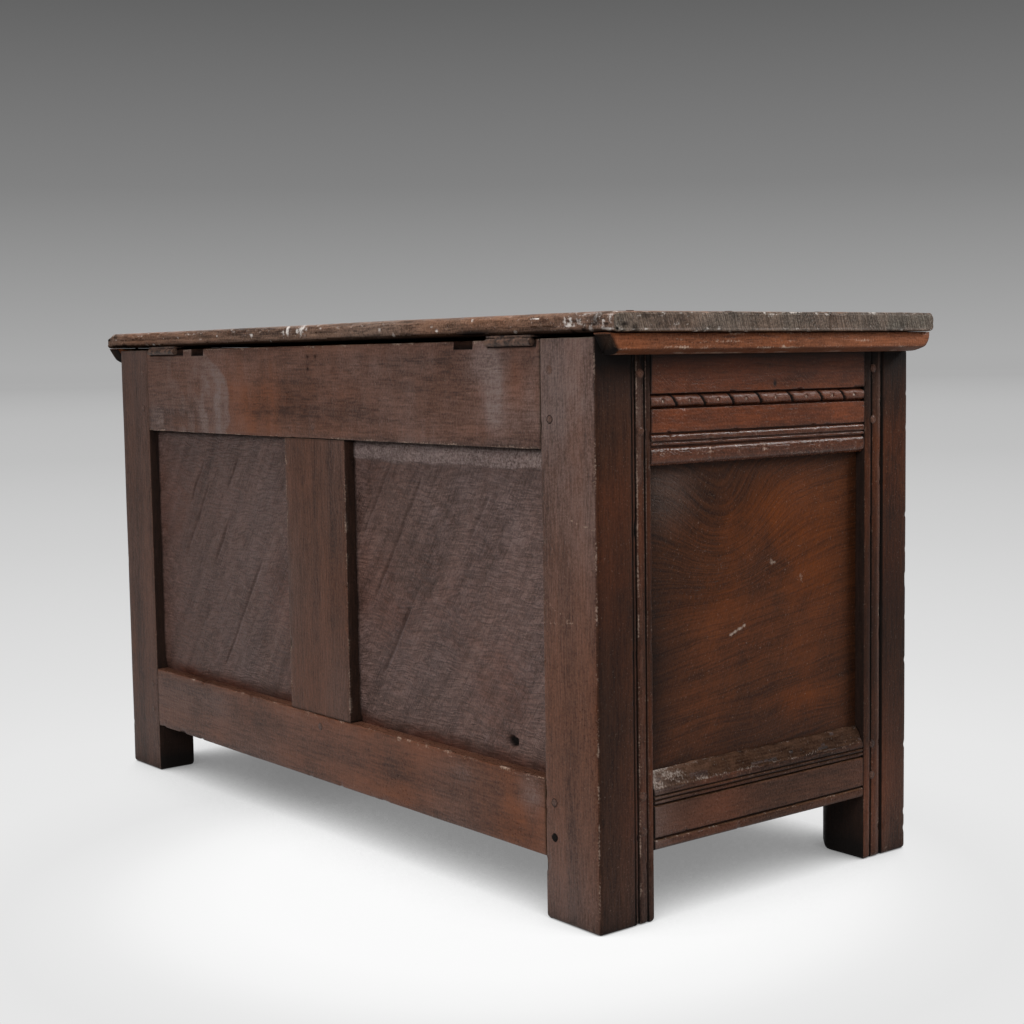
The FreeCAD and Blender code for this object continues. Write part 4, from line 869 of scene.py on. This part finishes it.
# Pegs. Riven oak pegs, left a little square by the knife, driven through each joint and pared almost flush.
# They have shrunk and crept out a little, and dirt rings each one. One in the near back foot has dropped out,
# and its head is painted dark as the shade of the empty hole.
PEG_SHARES = (0.28, 0.72)
PEG_SET_IN = 15 * MM
PEG_RINGS = np.array(((4.7, -1.5), (4.6, 0.02), (4.1, 0.05), (3.9, -0.3), (3.7, 0.12), (2.6, 0.3),
                      (1.2, 0.35), (0.05, 0.35))) * MM
PEG_GRIME = np.array((1.0, 0.9, 1.0, 1.0, 0.4, 0.1, 0.05, 0.05))
PEG_SIDES = 16
FAINT, PLAIN, DARK, EMPTY_HOLE_SHADE = 0.25, 0.8, 1.0, 2.0


def pegs(node, axis, sign, face, centres, bold):
    """Peg heads on one face: ring k of each has its own radius and height, eased to four slight flats. Bold
    says how dark each one's ring of dirt is, and past 1 its whole head is painted dark, a painted shade
    standing for an empty hole."""
    turn = np.linspace(0, 2 * np.pi, PEG_SIDES, endpoint=False)
    first, second = [n for n in range(3) if n != axis]
    centres = np.array(centres)
    radius = PEG_RINGS[:, 0, None] * (1 + 0.035 * np.cos(4 * turn + 0.6))
    points = np.zeros((len(centres), len(PEG_RINGS), PEG_SIDES, 3))
    points[..., first] = centres[:, 0, None, None] + radius * np.cos(turn)
    points[..., second] = centres[:, 1, None, None] + radius * np.sin(turn)
    points[..., axis] = face + sign * PEG_RINGS[:, 1, None]
    index = np.arange(points[..., 0].size).reshape(points.shape[:-1])
    ahead = np.roll(index, -1, 2)
    quads = np.stack([index[:, :-1], ahead[:, :-1], ahead[:, 1:], index[:, 1:]], -1).reshape(-1, 4)
    caps = [cap for peg in index for cap in (peg[0, ::-1], peg[-1])]
    finish = np.zeros(points.shape[:-1] + (4,))
    bold = np.broadcast_to(bold, len(centres))[:, None, None]
    finish[..., 1] = PEG_GRIME[:, None] * bold + np.maximum(bold - 1, 0)
    finish[..., 2] = 0.4 if axis == 1 else 0.1
    points = points.reshape(-1, 3)
    piece = solid(f"worn_{node}", points, quads, caps, np.roll(points, -axis, 1), finish.reshape(-1, 4),
                  (frame_oak,))
    return settled(piece, node, "carcass")


def joint_spots(rails, run):
    """Places of the two pegs in each tenon of some rails, just past each end of the rails' run."""
    places = (run[0] - PEG_SET_IN, run[1] + PEG_SET_IN)
    return [(place, low[2] + share * (high[2] - low[2])) for low, high in map(span, rails)
            for share in PEG_SHARES for place in places]


back_spots = joint_spots(("rail_back_top", "rail_back_bottom"), (inner_left, inner_right))
back_spots += [(0, opening_high + PEG_SET_IN), (0, opening_low - PEG_SET_IN)]
back_bold = np.full(len(back_spots), FAINT)
# The fifth peg has dropped out: its head is painted dark as the shade of an empty hole.
back_bold[[0, 4, 6]] = DARK, EMPTY_HOLE_SHADE, PLAIN
pegs("pegs_back", 1, 1, back_left[1][1], back_spots, back_bold)
for side, sign in (("left", -1), ("right", 1)):
    end_spots = joint_spots((f"rail_end_{side}_top", f"rail_end_{side}_bottom"), end_run)
    pegs(f"pegs_{side}", 0, sign, sign * abs(back_left[0][0]), end_spots, FAINT)
front_spots = joint_spots(front_rails, front_run)
front_spots += [((low[0] + high[0]) / 2, z) for low, high in (first_post, second_post)
                for z in (front_opening[0] - PEG_SET_IN, front_opening[1] + PEG_SET_IN)]
pegs("pegs_front", 1, -1, front_left[0][1], front_spots, PLAIN)

# Chest floor. Four thin riven boards let into the middle rail, laid on ledgers and nailed down at the back,
# all of them left raw. The end boards are cut back round the stiles.
STILE_ROOM = 0.3 * MM

raw_oak = aged_oak("raw_oak", dark=(72, 50, 36), light=(128, 96, 70), warm=(138, 92, 54),
                   bloom=(120, 108, 96), bare=(158, 130, 100), roughness=0.68, figure=0.2)
limit = front_run[1] - STILE_ROOM
stop_front, stop_back = end_run[0] + STILE_ROOM, end_run[1] - STILE_ROOM
for node in ("floor_board_1", "floor_board_2", "floor_board_3", "floor_board_4"):
    low, high = span(node)
    seed = number_of(node)
    walls = [edge + nudge for edge in (-limit, limit) if low[0] < edge < high[0]
             for nudge in (-WALL_NUDGE, WALL_NUDGE)]
    path = np.unique(np.concatenate([steps(low[0], high[0], 6 * MM), walls]))
    spot, _, finish = carried(0, rounded(squared(low, high, 0, 0.8 * MM), 6 * MM), path, seed)
    x, y, z = parted(spot)
    squeezed = stop_front + (y - low[1]) / (high[1] - low[1]) * (stop_back - stop_front)
    y[:] = np.where(np.abs(x) > limit, squeezed, y)
    finish[..., 2] = 0.2 + 0.2 * drift(spot, 90, seed + 5)
    finish[..., 3] = 0.3
    timber(node, "carcass", (raw_oak,), 0, spot, finish)
for node, axis in (("floor_ledger_back", 0), ("floor_ledger_left", 1), ("floor_ledger_right", 1)):
    board(node, "carcass", "raw_oak", (raw_oak, end_oak), axis, pace=8 * MM, dirt=0.2)

# Drawer bearers. Plain battens of raw oak, nailed between the front and back stiles of each end. The drawer
# hangs on them, and its sides have kept them fairly clean.
for node in ("drawer_bearer_left", "drawer_bearer_right"):
    board(node, "carcass", "raw_oak", (raw_oak, end_oak), 1, dirt=0.1)

# Drawer. A thick front with two turned knobs, and raw sides, back and bottom boards nailed together. Each
# side is ploughed along its outside to hang on a bearer.
CHANNEL_ROOM = 0.3 * MM
CHANNEL_LIP, CHANNEL_RADIUS = 0.6 * MM, 0.3 * MM
THIN_RADIUS = 0.8 * MM
KNOB_PROFILE = ((-24, 6.0), (-0.2, 6.0), (0, 9.4), (1.6, 9.6), (3.0, 8.2), (6.0, 7.6), (9.0, 8.6),
                (12.0, 12.5), (15.5, 16.6), (19.5, 18.0), (23.5, 17.0), (27.0, 13.0), (29.0, 7.5),
                (29.8, 2.5), (29.9, 0.1))
KNOB_SIDES = 48

board("drawer_front", "drawer", "frame_oak", (frame_oak, end_oak), 0, pace=4 * MM, rub=1.2 * MM)
bearer_low, bearer_high = span("drawer_bearer_left")
channel_depth = bearer_high[0] - span("drawer_side_left")[0][0] + CHANNEL_ROOM
channel_top, channel_foot = bearer_high[2] + CHANNEL_ROOM, bearer_low[2] - CHANNEL_ROOM
for side, inward in (("left", 1), ("right", -1)):
    node = f"drawer_side_{side}"
    low, high = span(node)
    outer, inner = (low[0], high[0]) if side == "left" else (high[0], low[0])
    trough = outer + inward * channel_depth
    section = [(low[2], inner, THIN_RADIUS), (high[2], inner, THIN_RADIUS), (high[2], outer, THIN_RADIUS),
               (channel_top, outer, CHANNEL_LIP), (channel_top, trough, CHANNEL_RADIUS),
               (channel_foot, trough, CHANNEL_RADIUS), (channel_foot, outer, CHANNEL_LIP),
               (low[2], outer, THIN_RADIUS)]
    seed = number_of(node)
    spot, _, finish = carried(1, rounded(section, 6 * MM), steps(low[1], high[1], 6 * MM), seed)
    finish[..., 2] = 0.2
    finish[..., 3] = 0.3 + 0.3 * drift(spot, 90, seed + 5)
    timber(node, "drawer", (raw_oak, end_oak), 1, spot, finish)
board("drawer_back", "drawer", "raw_oak", (raw_oak, end_oak), 0, radius=THIN_RADIUS, pace=7 * MM)
reach, radius = np.array(KNOB_PROFILE).T[..., None] * MM
turn = np.linspace(0, 2 * np.pi, KNOB_SIDES, endpoint=False)
for side in ("left", "right"):
    board(f"drawer_bottom_{side}", "drawer", "raw_oak", (raw_oak, end_oak), 0, radius=THIN_RADIUS,
          pace=8 * MM)
    node = f"drawer_knob_{side}"
    middle = sum(span(node)) / 2
    spot = np.stack([middle[0] + radius * np.cos(turn), front_left[0][1] - reach + 0 * turn,
                     middle[2] + radius * np.sin(turn)], -1)
    finish = np.zeros(spot.shape[:-1] + (4,))
    finish[..., 1] = 0.8 * bell(reach, 5 * MM)
    finish[..., 3] = 0.5
    timber(node, "drawer", (frame_oak,), 1, spot, finish)

# Hinges, screws and nails. Forged iron butt hinges with five knuckles, hand-cut screws and clout nails,
# rusted brown and rubbed dull.
HINGE_PARTS = ("frame_leaf", "lid_leaf", "pin")
IRON_NODES = [f"hinge_{side}_{part}" for side in ("left", "right") for part in HINGE_PARTS]
IRON_NODES += ["hinge_screws_frame", "hinge_screws_lid", "floor_nails", "lid_nails"]
SCALE_CELLS, PIT_CELLS = 160, 700


def rusted_iron(name):
    """Old iron: dark scale under patches of brown rust, with a little bare metal between."""
    material, tree, shader = blank(name)
    spot = tree.nodes.new("ShaderNodeTexCoord").outputs["Object"]
    pits = mottle(tree, spot, PIT_CELLS, 2)
    rust = ranged(tree, mottle(tree, spot, SCALE_CELLS, 4, 0.6), 0.4, 0.62)
    tree.links.new(blended(tree, rust, tone(52, 42, 38), tone(104, 78, 64)), shader.inputs["Base Color"])
    tree.links.new(ranged(tree, rust, 0, 1, 0.55, 0.15), shader.inputs["Metallic"])
    tree.links.new(ranged(tree, pits, 0.3, 0.7, 0.42, 0.68), shader.inputs["Roughness"])
    embossed(tree, shader, pits, 0.3, 0.3 * MM)
    return material


iron = rusted_iron("forged_iron")
for node in IRON_NODES:
    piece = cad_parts[node]
    piece.data.materials.clear()
    piece.data.materials.append(iron)

# Lid. Two thick oak boards with worn thumbnail edges, nailed down to a cleat under each end. Scrubbing and
# damp have greyed the edges, knocks have chipped them, and old paint has splashed the back edge.
LID_TOP_RADIUS, LID_UNDER_RADIUS, LID_END_RADIUS = 8 * MM, 7 * MM, 1.4 * MM
JOINT_RADIUS, JOINT_HOLD = 0.5 * MM, 25 * MM
LID_PACES = np.array((4, 1.6, 4, 5)) * MM
FAR_BEVEL = 7 * MM
WARM_MIDDLE, WARM_ALONG, WARM_ACROSS = 350 * MM, 150 * MM, 1000 * MM
END_RINGS = np.array((0.97, 0.85, 0.65, 0.45, 0.25, 0.05))
SPLASHES = [(across, -7, 9, 8, thick) for across, thick in (
    (-543, 0.3), (-521, 0.45), (-505, 0.35), (-482, 0.9), (16, 0.9), (52, 0.9))]

lid_oak = aged_oak("lid_oak", dark=(38, 24, 17), light=(150, 119, 100), warm=(168, 108, 70),
                   bloom=(124, 106, 96), bare=(212, 204, 198), roughness=0.46, figure=0.1)
lid_end_oak = aged_oak("lid_end_oak", dark=(50, 37, 29), light=(136, 112, 97), warm=(140, 104, 76),
                       bloom=(130, 128, 118), bare=(206, 198, 190), roughness=0.42, figure=0.1, hatch=0.5)


def faced(spot, way, finish, level):
    """Covers the two sawn ends with rings: each repeats the end's outline, drawn in to its middle level."""
    ends = np.repeat(spot[[0, -1]][:, None], len(END_RINGS), 1)
    ends[..., 2] = level + (ends[..., 2] - level) * END_RINGS[:, None]
    out = np.zeros(ends.shape[1:])
    out[..., 0] = 1
    clean = np.zeros(out.shape[:-1] + (4,))
    return (np.concatenate([ends[0, ::-1], spot, ends[1]]), np.concatenate([-out, way, out]),
            np.concatenate([clean, finish, clean]))


for node in ("lid_board_back", "lid_board_front"):
    low, high = span(node)
    level = (low[2] + high[2]) / 2
    back = node == "lid_board_back"
    outer_y, joint_y = (high[1], low[1]) if back else (low[1], high[1])
    outline = rounded([(joint_y, low[2], JOINT_RADIUS), (outer_y, low[2], LID_UNDER_RADIUS),
                       (outer_y, high[2], LID_TOP_RADIUS), (joint_y, high[2], JOINT_RADIUS)], LID_PACES)
    keep = np.ones_like(outline[0])
    keep[:, 0] = held(np.abs(outline[0][:, 0] - joint_y) / JOINT_HOLD)
    seed = number_of(node)
    made = carried(0, outline, steps(low[0], high[0], 2.4 * MM), seed, rub=0.4 * MM, wave=0.2 * MM,
                   ends=(LID_END_RADIUS, LID_END_RADIUS), keep=keep)
    spot, way, finish = faced(*made, level)
    x, y, z = parted(spot)
    rubbed, grime_and_shade, bloom_and_sheen, warm = parted(finish)
    on_end = np.abs(way[..., 0]) > 0.5
    from_end = high[0] - np.abs(x)
    from_side = np.abs(y - outer_y)
    to_rim = np.minimum(from_side, from_end)
    at_edge = fading(to_rim, 12 * MM)
    near_corner = back * fading(from_end, 50 * MM) * fading(from_side, 50 * MM)
    way[..., 0] = np.sign(x) * fading(from_end, 2.5 * MM)
    upward = way[..., 2]
    lumps, fine = drift(spot, (11, 9, 7), seed + 6), drift(spot, (5, 4, 3), seed + 7)
    gnaw = held(1.9 * lumps - 0.7) * held(0.4 + upward)
    checks = held(2.2 * drift(spot, (60, 7, 4.5), seed + 9) - 0.9)
    worn_in = 0.7 * (1 + drift(spot, (150, ANY, ANY), seed + 4)) + 1.6 * gnaw + 0.25 * (1 + fine) + checks
    worn_in *= MM * at_edge * (1 + 1.6 * near_corner) * held(1 + upward) * np.where(on_end, 0.5, 1.0)
    spot -= way * worn_in[..., None]
    cut_off = back * FAR_BEVEL * held(1 - (high[0] - x) / (2 * FAR_BEVEL)) * bell(y - outer_y, 40 * MM)
    z -= cut_off * np.maximum(z - level, 0) / (high[2] - level)
    nibble = held(2.2 * drift(spot, (ANY, 7, ANY), seed + 12) - 0.6) * fading(from_end, 5 * MM)
    z -= 1.6 * MM * nibble * np.maximum(z - level, 0) / (high[2] - level)
    cloud = drift(spot, (120, 60, 60), seed + 5)
    flake = held(2.6 * drift(spot, (9, 5, 4), seed + 8) - 1.45)
    cracked = held(3.2 * drift(spot, (8, 6, 4), seed + 11) - 0.3)
    splashed = back * held(0.5 + 1.2 * drift(spot, (3.5, 4, 5), seed + 10)) * bell(y - outer_y, 14 * MM)
    arris = bell(high[2] - z, 5 * MM) * at_edge * fading(from_end, 45 * MM)
    rubbed[:] = held(0.5 * rubbed + at_edge * (0.25 * gnaw + 0.75 * flake))
    rubbed += splashed * soft_patches(x, z - high[2], SPLASHES)
    rubbed *= np.where(on_end, 0.4, 1.0)
    rubbed += 0.6 * arris * held(2.2 * drift(spot, (6, 5, 3), seed + 13) - 0.65)
    # Painted shade on the underside, deepest close under the rim where it overhangs.
    grime_and_shade += held(from_end / (20 * MM)) * held(-upward) * (0.15 + 0.75 * bell(to_rim, 22 * MM, 4))
    grime_and_shade += at_edge * (np.where(on_end, 0.0, 0.6) * checks + 1.3 * near_corner * cracked)
    bloom_and_sheen += held(0.25 + 0.35 * cloud + 0.3 * near_corner) + 0.6 * on_end * bell(y + 220 * MM, 70 * MM)
    warm += held(0.2 - 0.4 * cloud + 0.4 * bell(x - WARM_MIDDLE, WARM_ALONG) * bell(y - outer_y, WARM_ACROSS))
    piece = timber(node, "lid", (lid_oak, lid_end_oak), 0, spot, finish)
    refaced(piece, dry_oak, (0, 0, -1))

# Cleats. Oak battens nailed up under the ends of the lid to keep it flat, chamfered below and cut on a slant
# at each tip. Hands lifting the lid have kept them bright.
CHAMFER_RISE, CHAMFER_RUN, CHAMFER_RADIUS = 5 * MM, 11 * MM, 2 * MM
CLEAT_SLANT = 14 * MM
FRONT_TIP_CURVE = 2.4

cleat_oak = aged_oak("cleat_oak", dark=(72, 39, 23), light=(150, 94, 65), warm=(168, 92, 48),
                     bloom=(128, 108, 96), bare=(206, 180, 160), roughness=0.36, figure=0.15)
for side, inward in (("left", 1), ("right", -1)):
    node = f"cleat_{side}"
    low, high = span(node)
    outer, inner = (low[0], high[0]) if side == "left" else (high[0], low[0])
    outline = rounded([(low[2], inner, 1 * MM), (high[2], inner, 0.8 * MM), (high[2], outer, 1.2 * MM),
                       (low[2] + CHAMFER_RISE, outer, CHAMFER_RADIUS),
                       (low[2], outer + inward * CHAMFER_RUN, CHAMFER_RADIUS)], 3 * MM)
    seed = number_of(node)
    spot, way, finish = carried(1, outline, steps(low[1], high[1], 3 * MM), seed, chip=1.4 * MM,
                                ends=(2 * MM, 2 * MM))
    x, y, z = parted(spot)
    rubbed, grime_and_shade, bloom_and_sheen, warm = parted(finish)
    middle, half = (low[1] + high[1]) / 2, (high[1] - low[1]) / 2
    dropped = held((high[2] - z) / (high[2] - low[2]))
    lean = 1 - CLEAT_SLANT / half * np.where(y > middle, dropped, dropped ** FRONT_TIP_CURVE)
    to_tip = half - np.abs(y - middle)
    y[:] = middle + (y - middle) * lean
    cloud = drift(spot, (60, 110, 60), seed + 5)
    flake = held(2.4 * drift(spot, (6, 40, 1.8), seed + 8) - 0.9)
    rubbed *= 0.6
    rubbed += 0.3 * flake
    # Painted shade on the underside, the inner face and the tips.
    grime_and_shade += 0.5 * held(-way[..., 2]) + 0.4 * held(inward * way[..., 0]) + 0.7 * bell(to_tip, 2.5 * MM)
    bloom_and_sheen += held(0.05 + 0.1 * cloud)
    warm += held(0.6 + 0.4 * cloud)
    timber(node, "lid", (cleat_oak, end_oak), 1, spot, finish)

# Studio floor. A wide pale floor with a painted pool of light, brightest round the chest and falling off to
# the grey of the far room. A painted shadow darkens it where the chest closes off the light above it.
FLOOR_RADIUS, FLOOR_RINGS, FLOOR_SIDES = 60.0, 48, 96
LIGHT_POOL_CENTRE = (-0.3, 0.2, 0.0)
# Painted pool of light: floor brightness by distance from its centre, in metres and screen bytes.
LIGHT_POOL = ((0.0, 252), (0.3, 250), (0.38, 245), (0.46, 234), (0.54, 229), (0.7, 232), (0.95, 231), (1.25, 227),
        (1.6, 223), (2.1, 219), (2.8, 214), (3.8, 208), (5.7, 201), (9.0, 192), (18.0, 186), (45.0, 172))
SHADOW_REACH, SHADOW_DEPTH, SHADOW_RANGE = 0.4, 0.24, (0.12, 0.62)
BOUNCE = tone(150, 150, 150)

turn = np.linspace(0, 2 * np.pi, FLOOR_SIDES, endpoint=False)
reach = np.concatenate([[0.001], np.geomspace(0.2, FLOOR_RADIUS, FLOOR_RINGS)])[:, None]
points = np.stack([reach * np.cos(turn), reach * np.sin(turn), 0 * reach * turn], -1)
index = np.arange(points[..., 0].size).reshape(points.shape[:2])
ahead = np.roll(index, -1, 1)
quads = np.stack([index[:-1], index[1:], ahead[1:], ahead[:-1]], -1).reshape(-1, 4)
floor_mesh = bpy.data.meshes.new("studio_floor")
floor_mesh.from_pydata(points.reshape(-1, 3).tolist(), [], quads.tolist())
studio_floor = bpy.data.objects.new("studio_floor", floor_mesh)
bpy.context.scene.collection.objects.link(studio_floor)


def greyed(tree, value, stops):
    """Carries a value from 0 to 1 along stops of grey, each a place and a screen byte."""
    ramp = tree.nodes.new("ShaderNodeValToRGB")
    tree.links.new(value, ramp.inputs["Fac"])
    while len(ramp.color_ramp.elements) < len(stops):
        ramp.color_ramp.elements.new(0.5)
    for stop, (place, shade) in zip(ramp.color_ramp.elements, stops):
        stop.position = place
        stop.color = tone(shade, shade, shade)
    return ramp.outputs["Color"]


def shown(tree, unseen, seen):
    """One surface for the eye and for reflections, and another for all the light that bounces."""
    rays, pick = tree.nodes.new("ShaderNodeLightPath"), tree.nodes.new("ShaderNodeMixShader")
    share = worked(tree, "MAXIMUM", rays.outputs["Is Camera Ray"], rays.outputs["Is Glossy Ray"])
    share = worked(tree, "MAXIMUM", share, rays.outputs["Is Transmission Ray"])
    for socket, value in zip(pick.inputs, (share, unseen, seen)):
        tree.links.new(value, socket)
    return pick.outputs[0]


def pale_floor(name):
    """A matt floor. To the eye and in reflections it shows its own pale colour with a painted pool of light,
    which falls off with distance, and a painted shadow where the chest closes off the room above it."""
    material, tree, shader = blank(name)
    tree.nodes.remove(shader)
    place, length, shadow, glow, matt = (tree.nodes.new(f"ShaderNode{kind}") for kind in (
        "TexCoord", "VectorMath", "AmbientOcclusion", "Emission", "BsdfDiffuse"))
    length.operation = "DISTANCE"
    length.inputs[1].default_value = LIGHT_POOL_CENTRE
    tree.links.new(place.outputs["Object"], length.inputs[0])
    widest = LIGHT_POOL[-1][0] + 1
    far = worked(tree, "LOGARITHM", worked(tree, "ADD", length.outputs["Value"], 1.0), widest)
    stops = [(float(np.log(distance + 1) / np.log(widest)), shade) for distance, shade in LIGHT_POOL]
    shadow.inputs["Distance"].default_value = SHADOW_REACH
    shadow.samples = 16
    # Painted pool of light by distance, dimmed by a painted shadow from ambient occlusion.
    tree.links.new(greyed(tree, far, stops), glow.inputs["Color"])
    tree.links.new(ranged(tree, shadow.outputs["AO"], *SHADOW_RANGE, SHADOW_DEPTH), glow.inputs["Strength"])
    matt.inputs["Color"].default_value = BOUNCE
    surface = shown(tree, matt.outputs[0], glow.outputs[0])
    tree.links.new(surface, tree.nodes["Material Output"].inputs["Surface"])
    return material


floor_mesh.materials.append(pale_floor("studio_floor"))

# Studio light. A broad soft box overhead, one towards the back that faces the camera, one for the carved end,
# and weak ones for the far sides. The room behind is a grey that darkens upward.
LAMPS = {
    "soft_box_top": ((-0.2, 0.6, 2.5), (0, 0, 0.3), 0.9, 36),
    "soft_box_back": ((-1.6, 2.4, 1.6), (0, 0.2, 0.35), 1.2, 44),
    "soft_box_end": ((-3.0, 0.1, 1.5), (-0.4, 0, 0.35), 0.9, 8),
    "soft_box_front": ((-1.8, -2.15, 2.1), (0, 0, 0.4), 0.9, 60),
    "soft_box_far_end": ((3.0, -0.9, 1.8), (0.4, 0, 0.3), 1.4, 18),
}
SKY = ((0.0, 171), (0.1, 129), (0.2, 99), (0.4, 80))
ROOM_LIGHT = 0.1

for name, (place, target, size, watts) in LAMPS.items():
    lamp = bpy.data.lights.new(name, "AREA")
    lamp.shape = "SQUARE"
    lamp.size = size
    lamp.energy = watts
    holder = bpy.data.objects.new(name, lamp)
    bpy.context.scene.collection.objects.link(holder)
    holder.location = place
    holder.rotation_mode = "QUATERNION"
    holder.rotation_quaternion = Vector(np.subtract(target, place)).to_track_quat("-Z", "Y")

world = bpy.data.worlds.new("studio_room")
bpy.context.scene.world = world
world.use_nodes = True
tree = world.node_tree
room = tree.nodes["Background"]
room.inputs["Color"].default_value = (1, 1, 1, 1)
room.inputs["Strength"].default_value = ROOM_LIGHT
sky, place, height = (tree.nodes.new(f"ShaderNode{kind}") for kind in (
    "Background", "TexCoord", "SeparateXYZ"))
tree.links.new(place.outputs["Generated"], height.inputs[0])
highest = SKY[-1][0]
stops = [(rise / highest, shade) for rise, shade in SKY]
tree.links.new(greyed(tree, ranged(tree, height.outputs["Z"], 0.0, highest), stops), sky.inputs["Color"])
surface = shown(tree, room.outputs[0], sky.outputs[0])
tree.links.new(surface, tree.nodes["World Output"].inputs["Surface"])

# Camera. It stands behind the chest's left end, at about the height of the lid's underside, and looks
# slightly down at the corner between the back and the end.
CAMERA_PLACE = (-1.7702, 1.3593, 0.5789)
CAMERA_TURN, CAMERA_DIP, CAMERA_ROLL = -0.6739, 0.0887, -0.0151
LENS, SENSOR = 60.13, 36.0

forward = np.array([np.cos(CAMERA_DIP) * np.cos(CAMERA_TURN), np.cos(CAMERA_DIP) * np.sin(CAMERA_TURN),
                    -np.sin(CAMERA_DIP)])
level = np.cross(forward, (0, 0, 1))
level = level / np.linalg.norm(level)
upright = np.cross(level, forward)
right = np.cos(CAMERA_ROLL) * level + np.sin(CAMERA_ROLL) * upright
above = np.cos(CAMERA_ROLL) * upright - np.sin(CAMERA_ROLL) * level
camera_data = bpy.data.cameras.new("camera")
camera_data.sensor_width = SENSOR
camera_data.lens = LENS
camera = bpy.data.objects.new("camera", camera_data)
bpy.context.scene.collection.objects.link(camera)
turned = np.eye(4)
turned[:3] = np.stack([right, above, -forward, CAMERA_PLACE], 1)
camera.matrix_world = Matrix(turned.tolist())
bpy.context.scene.camera = camera
bpy.context.scene.view_settings.view_transform = "Standard"
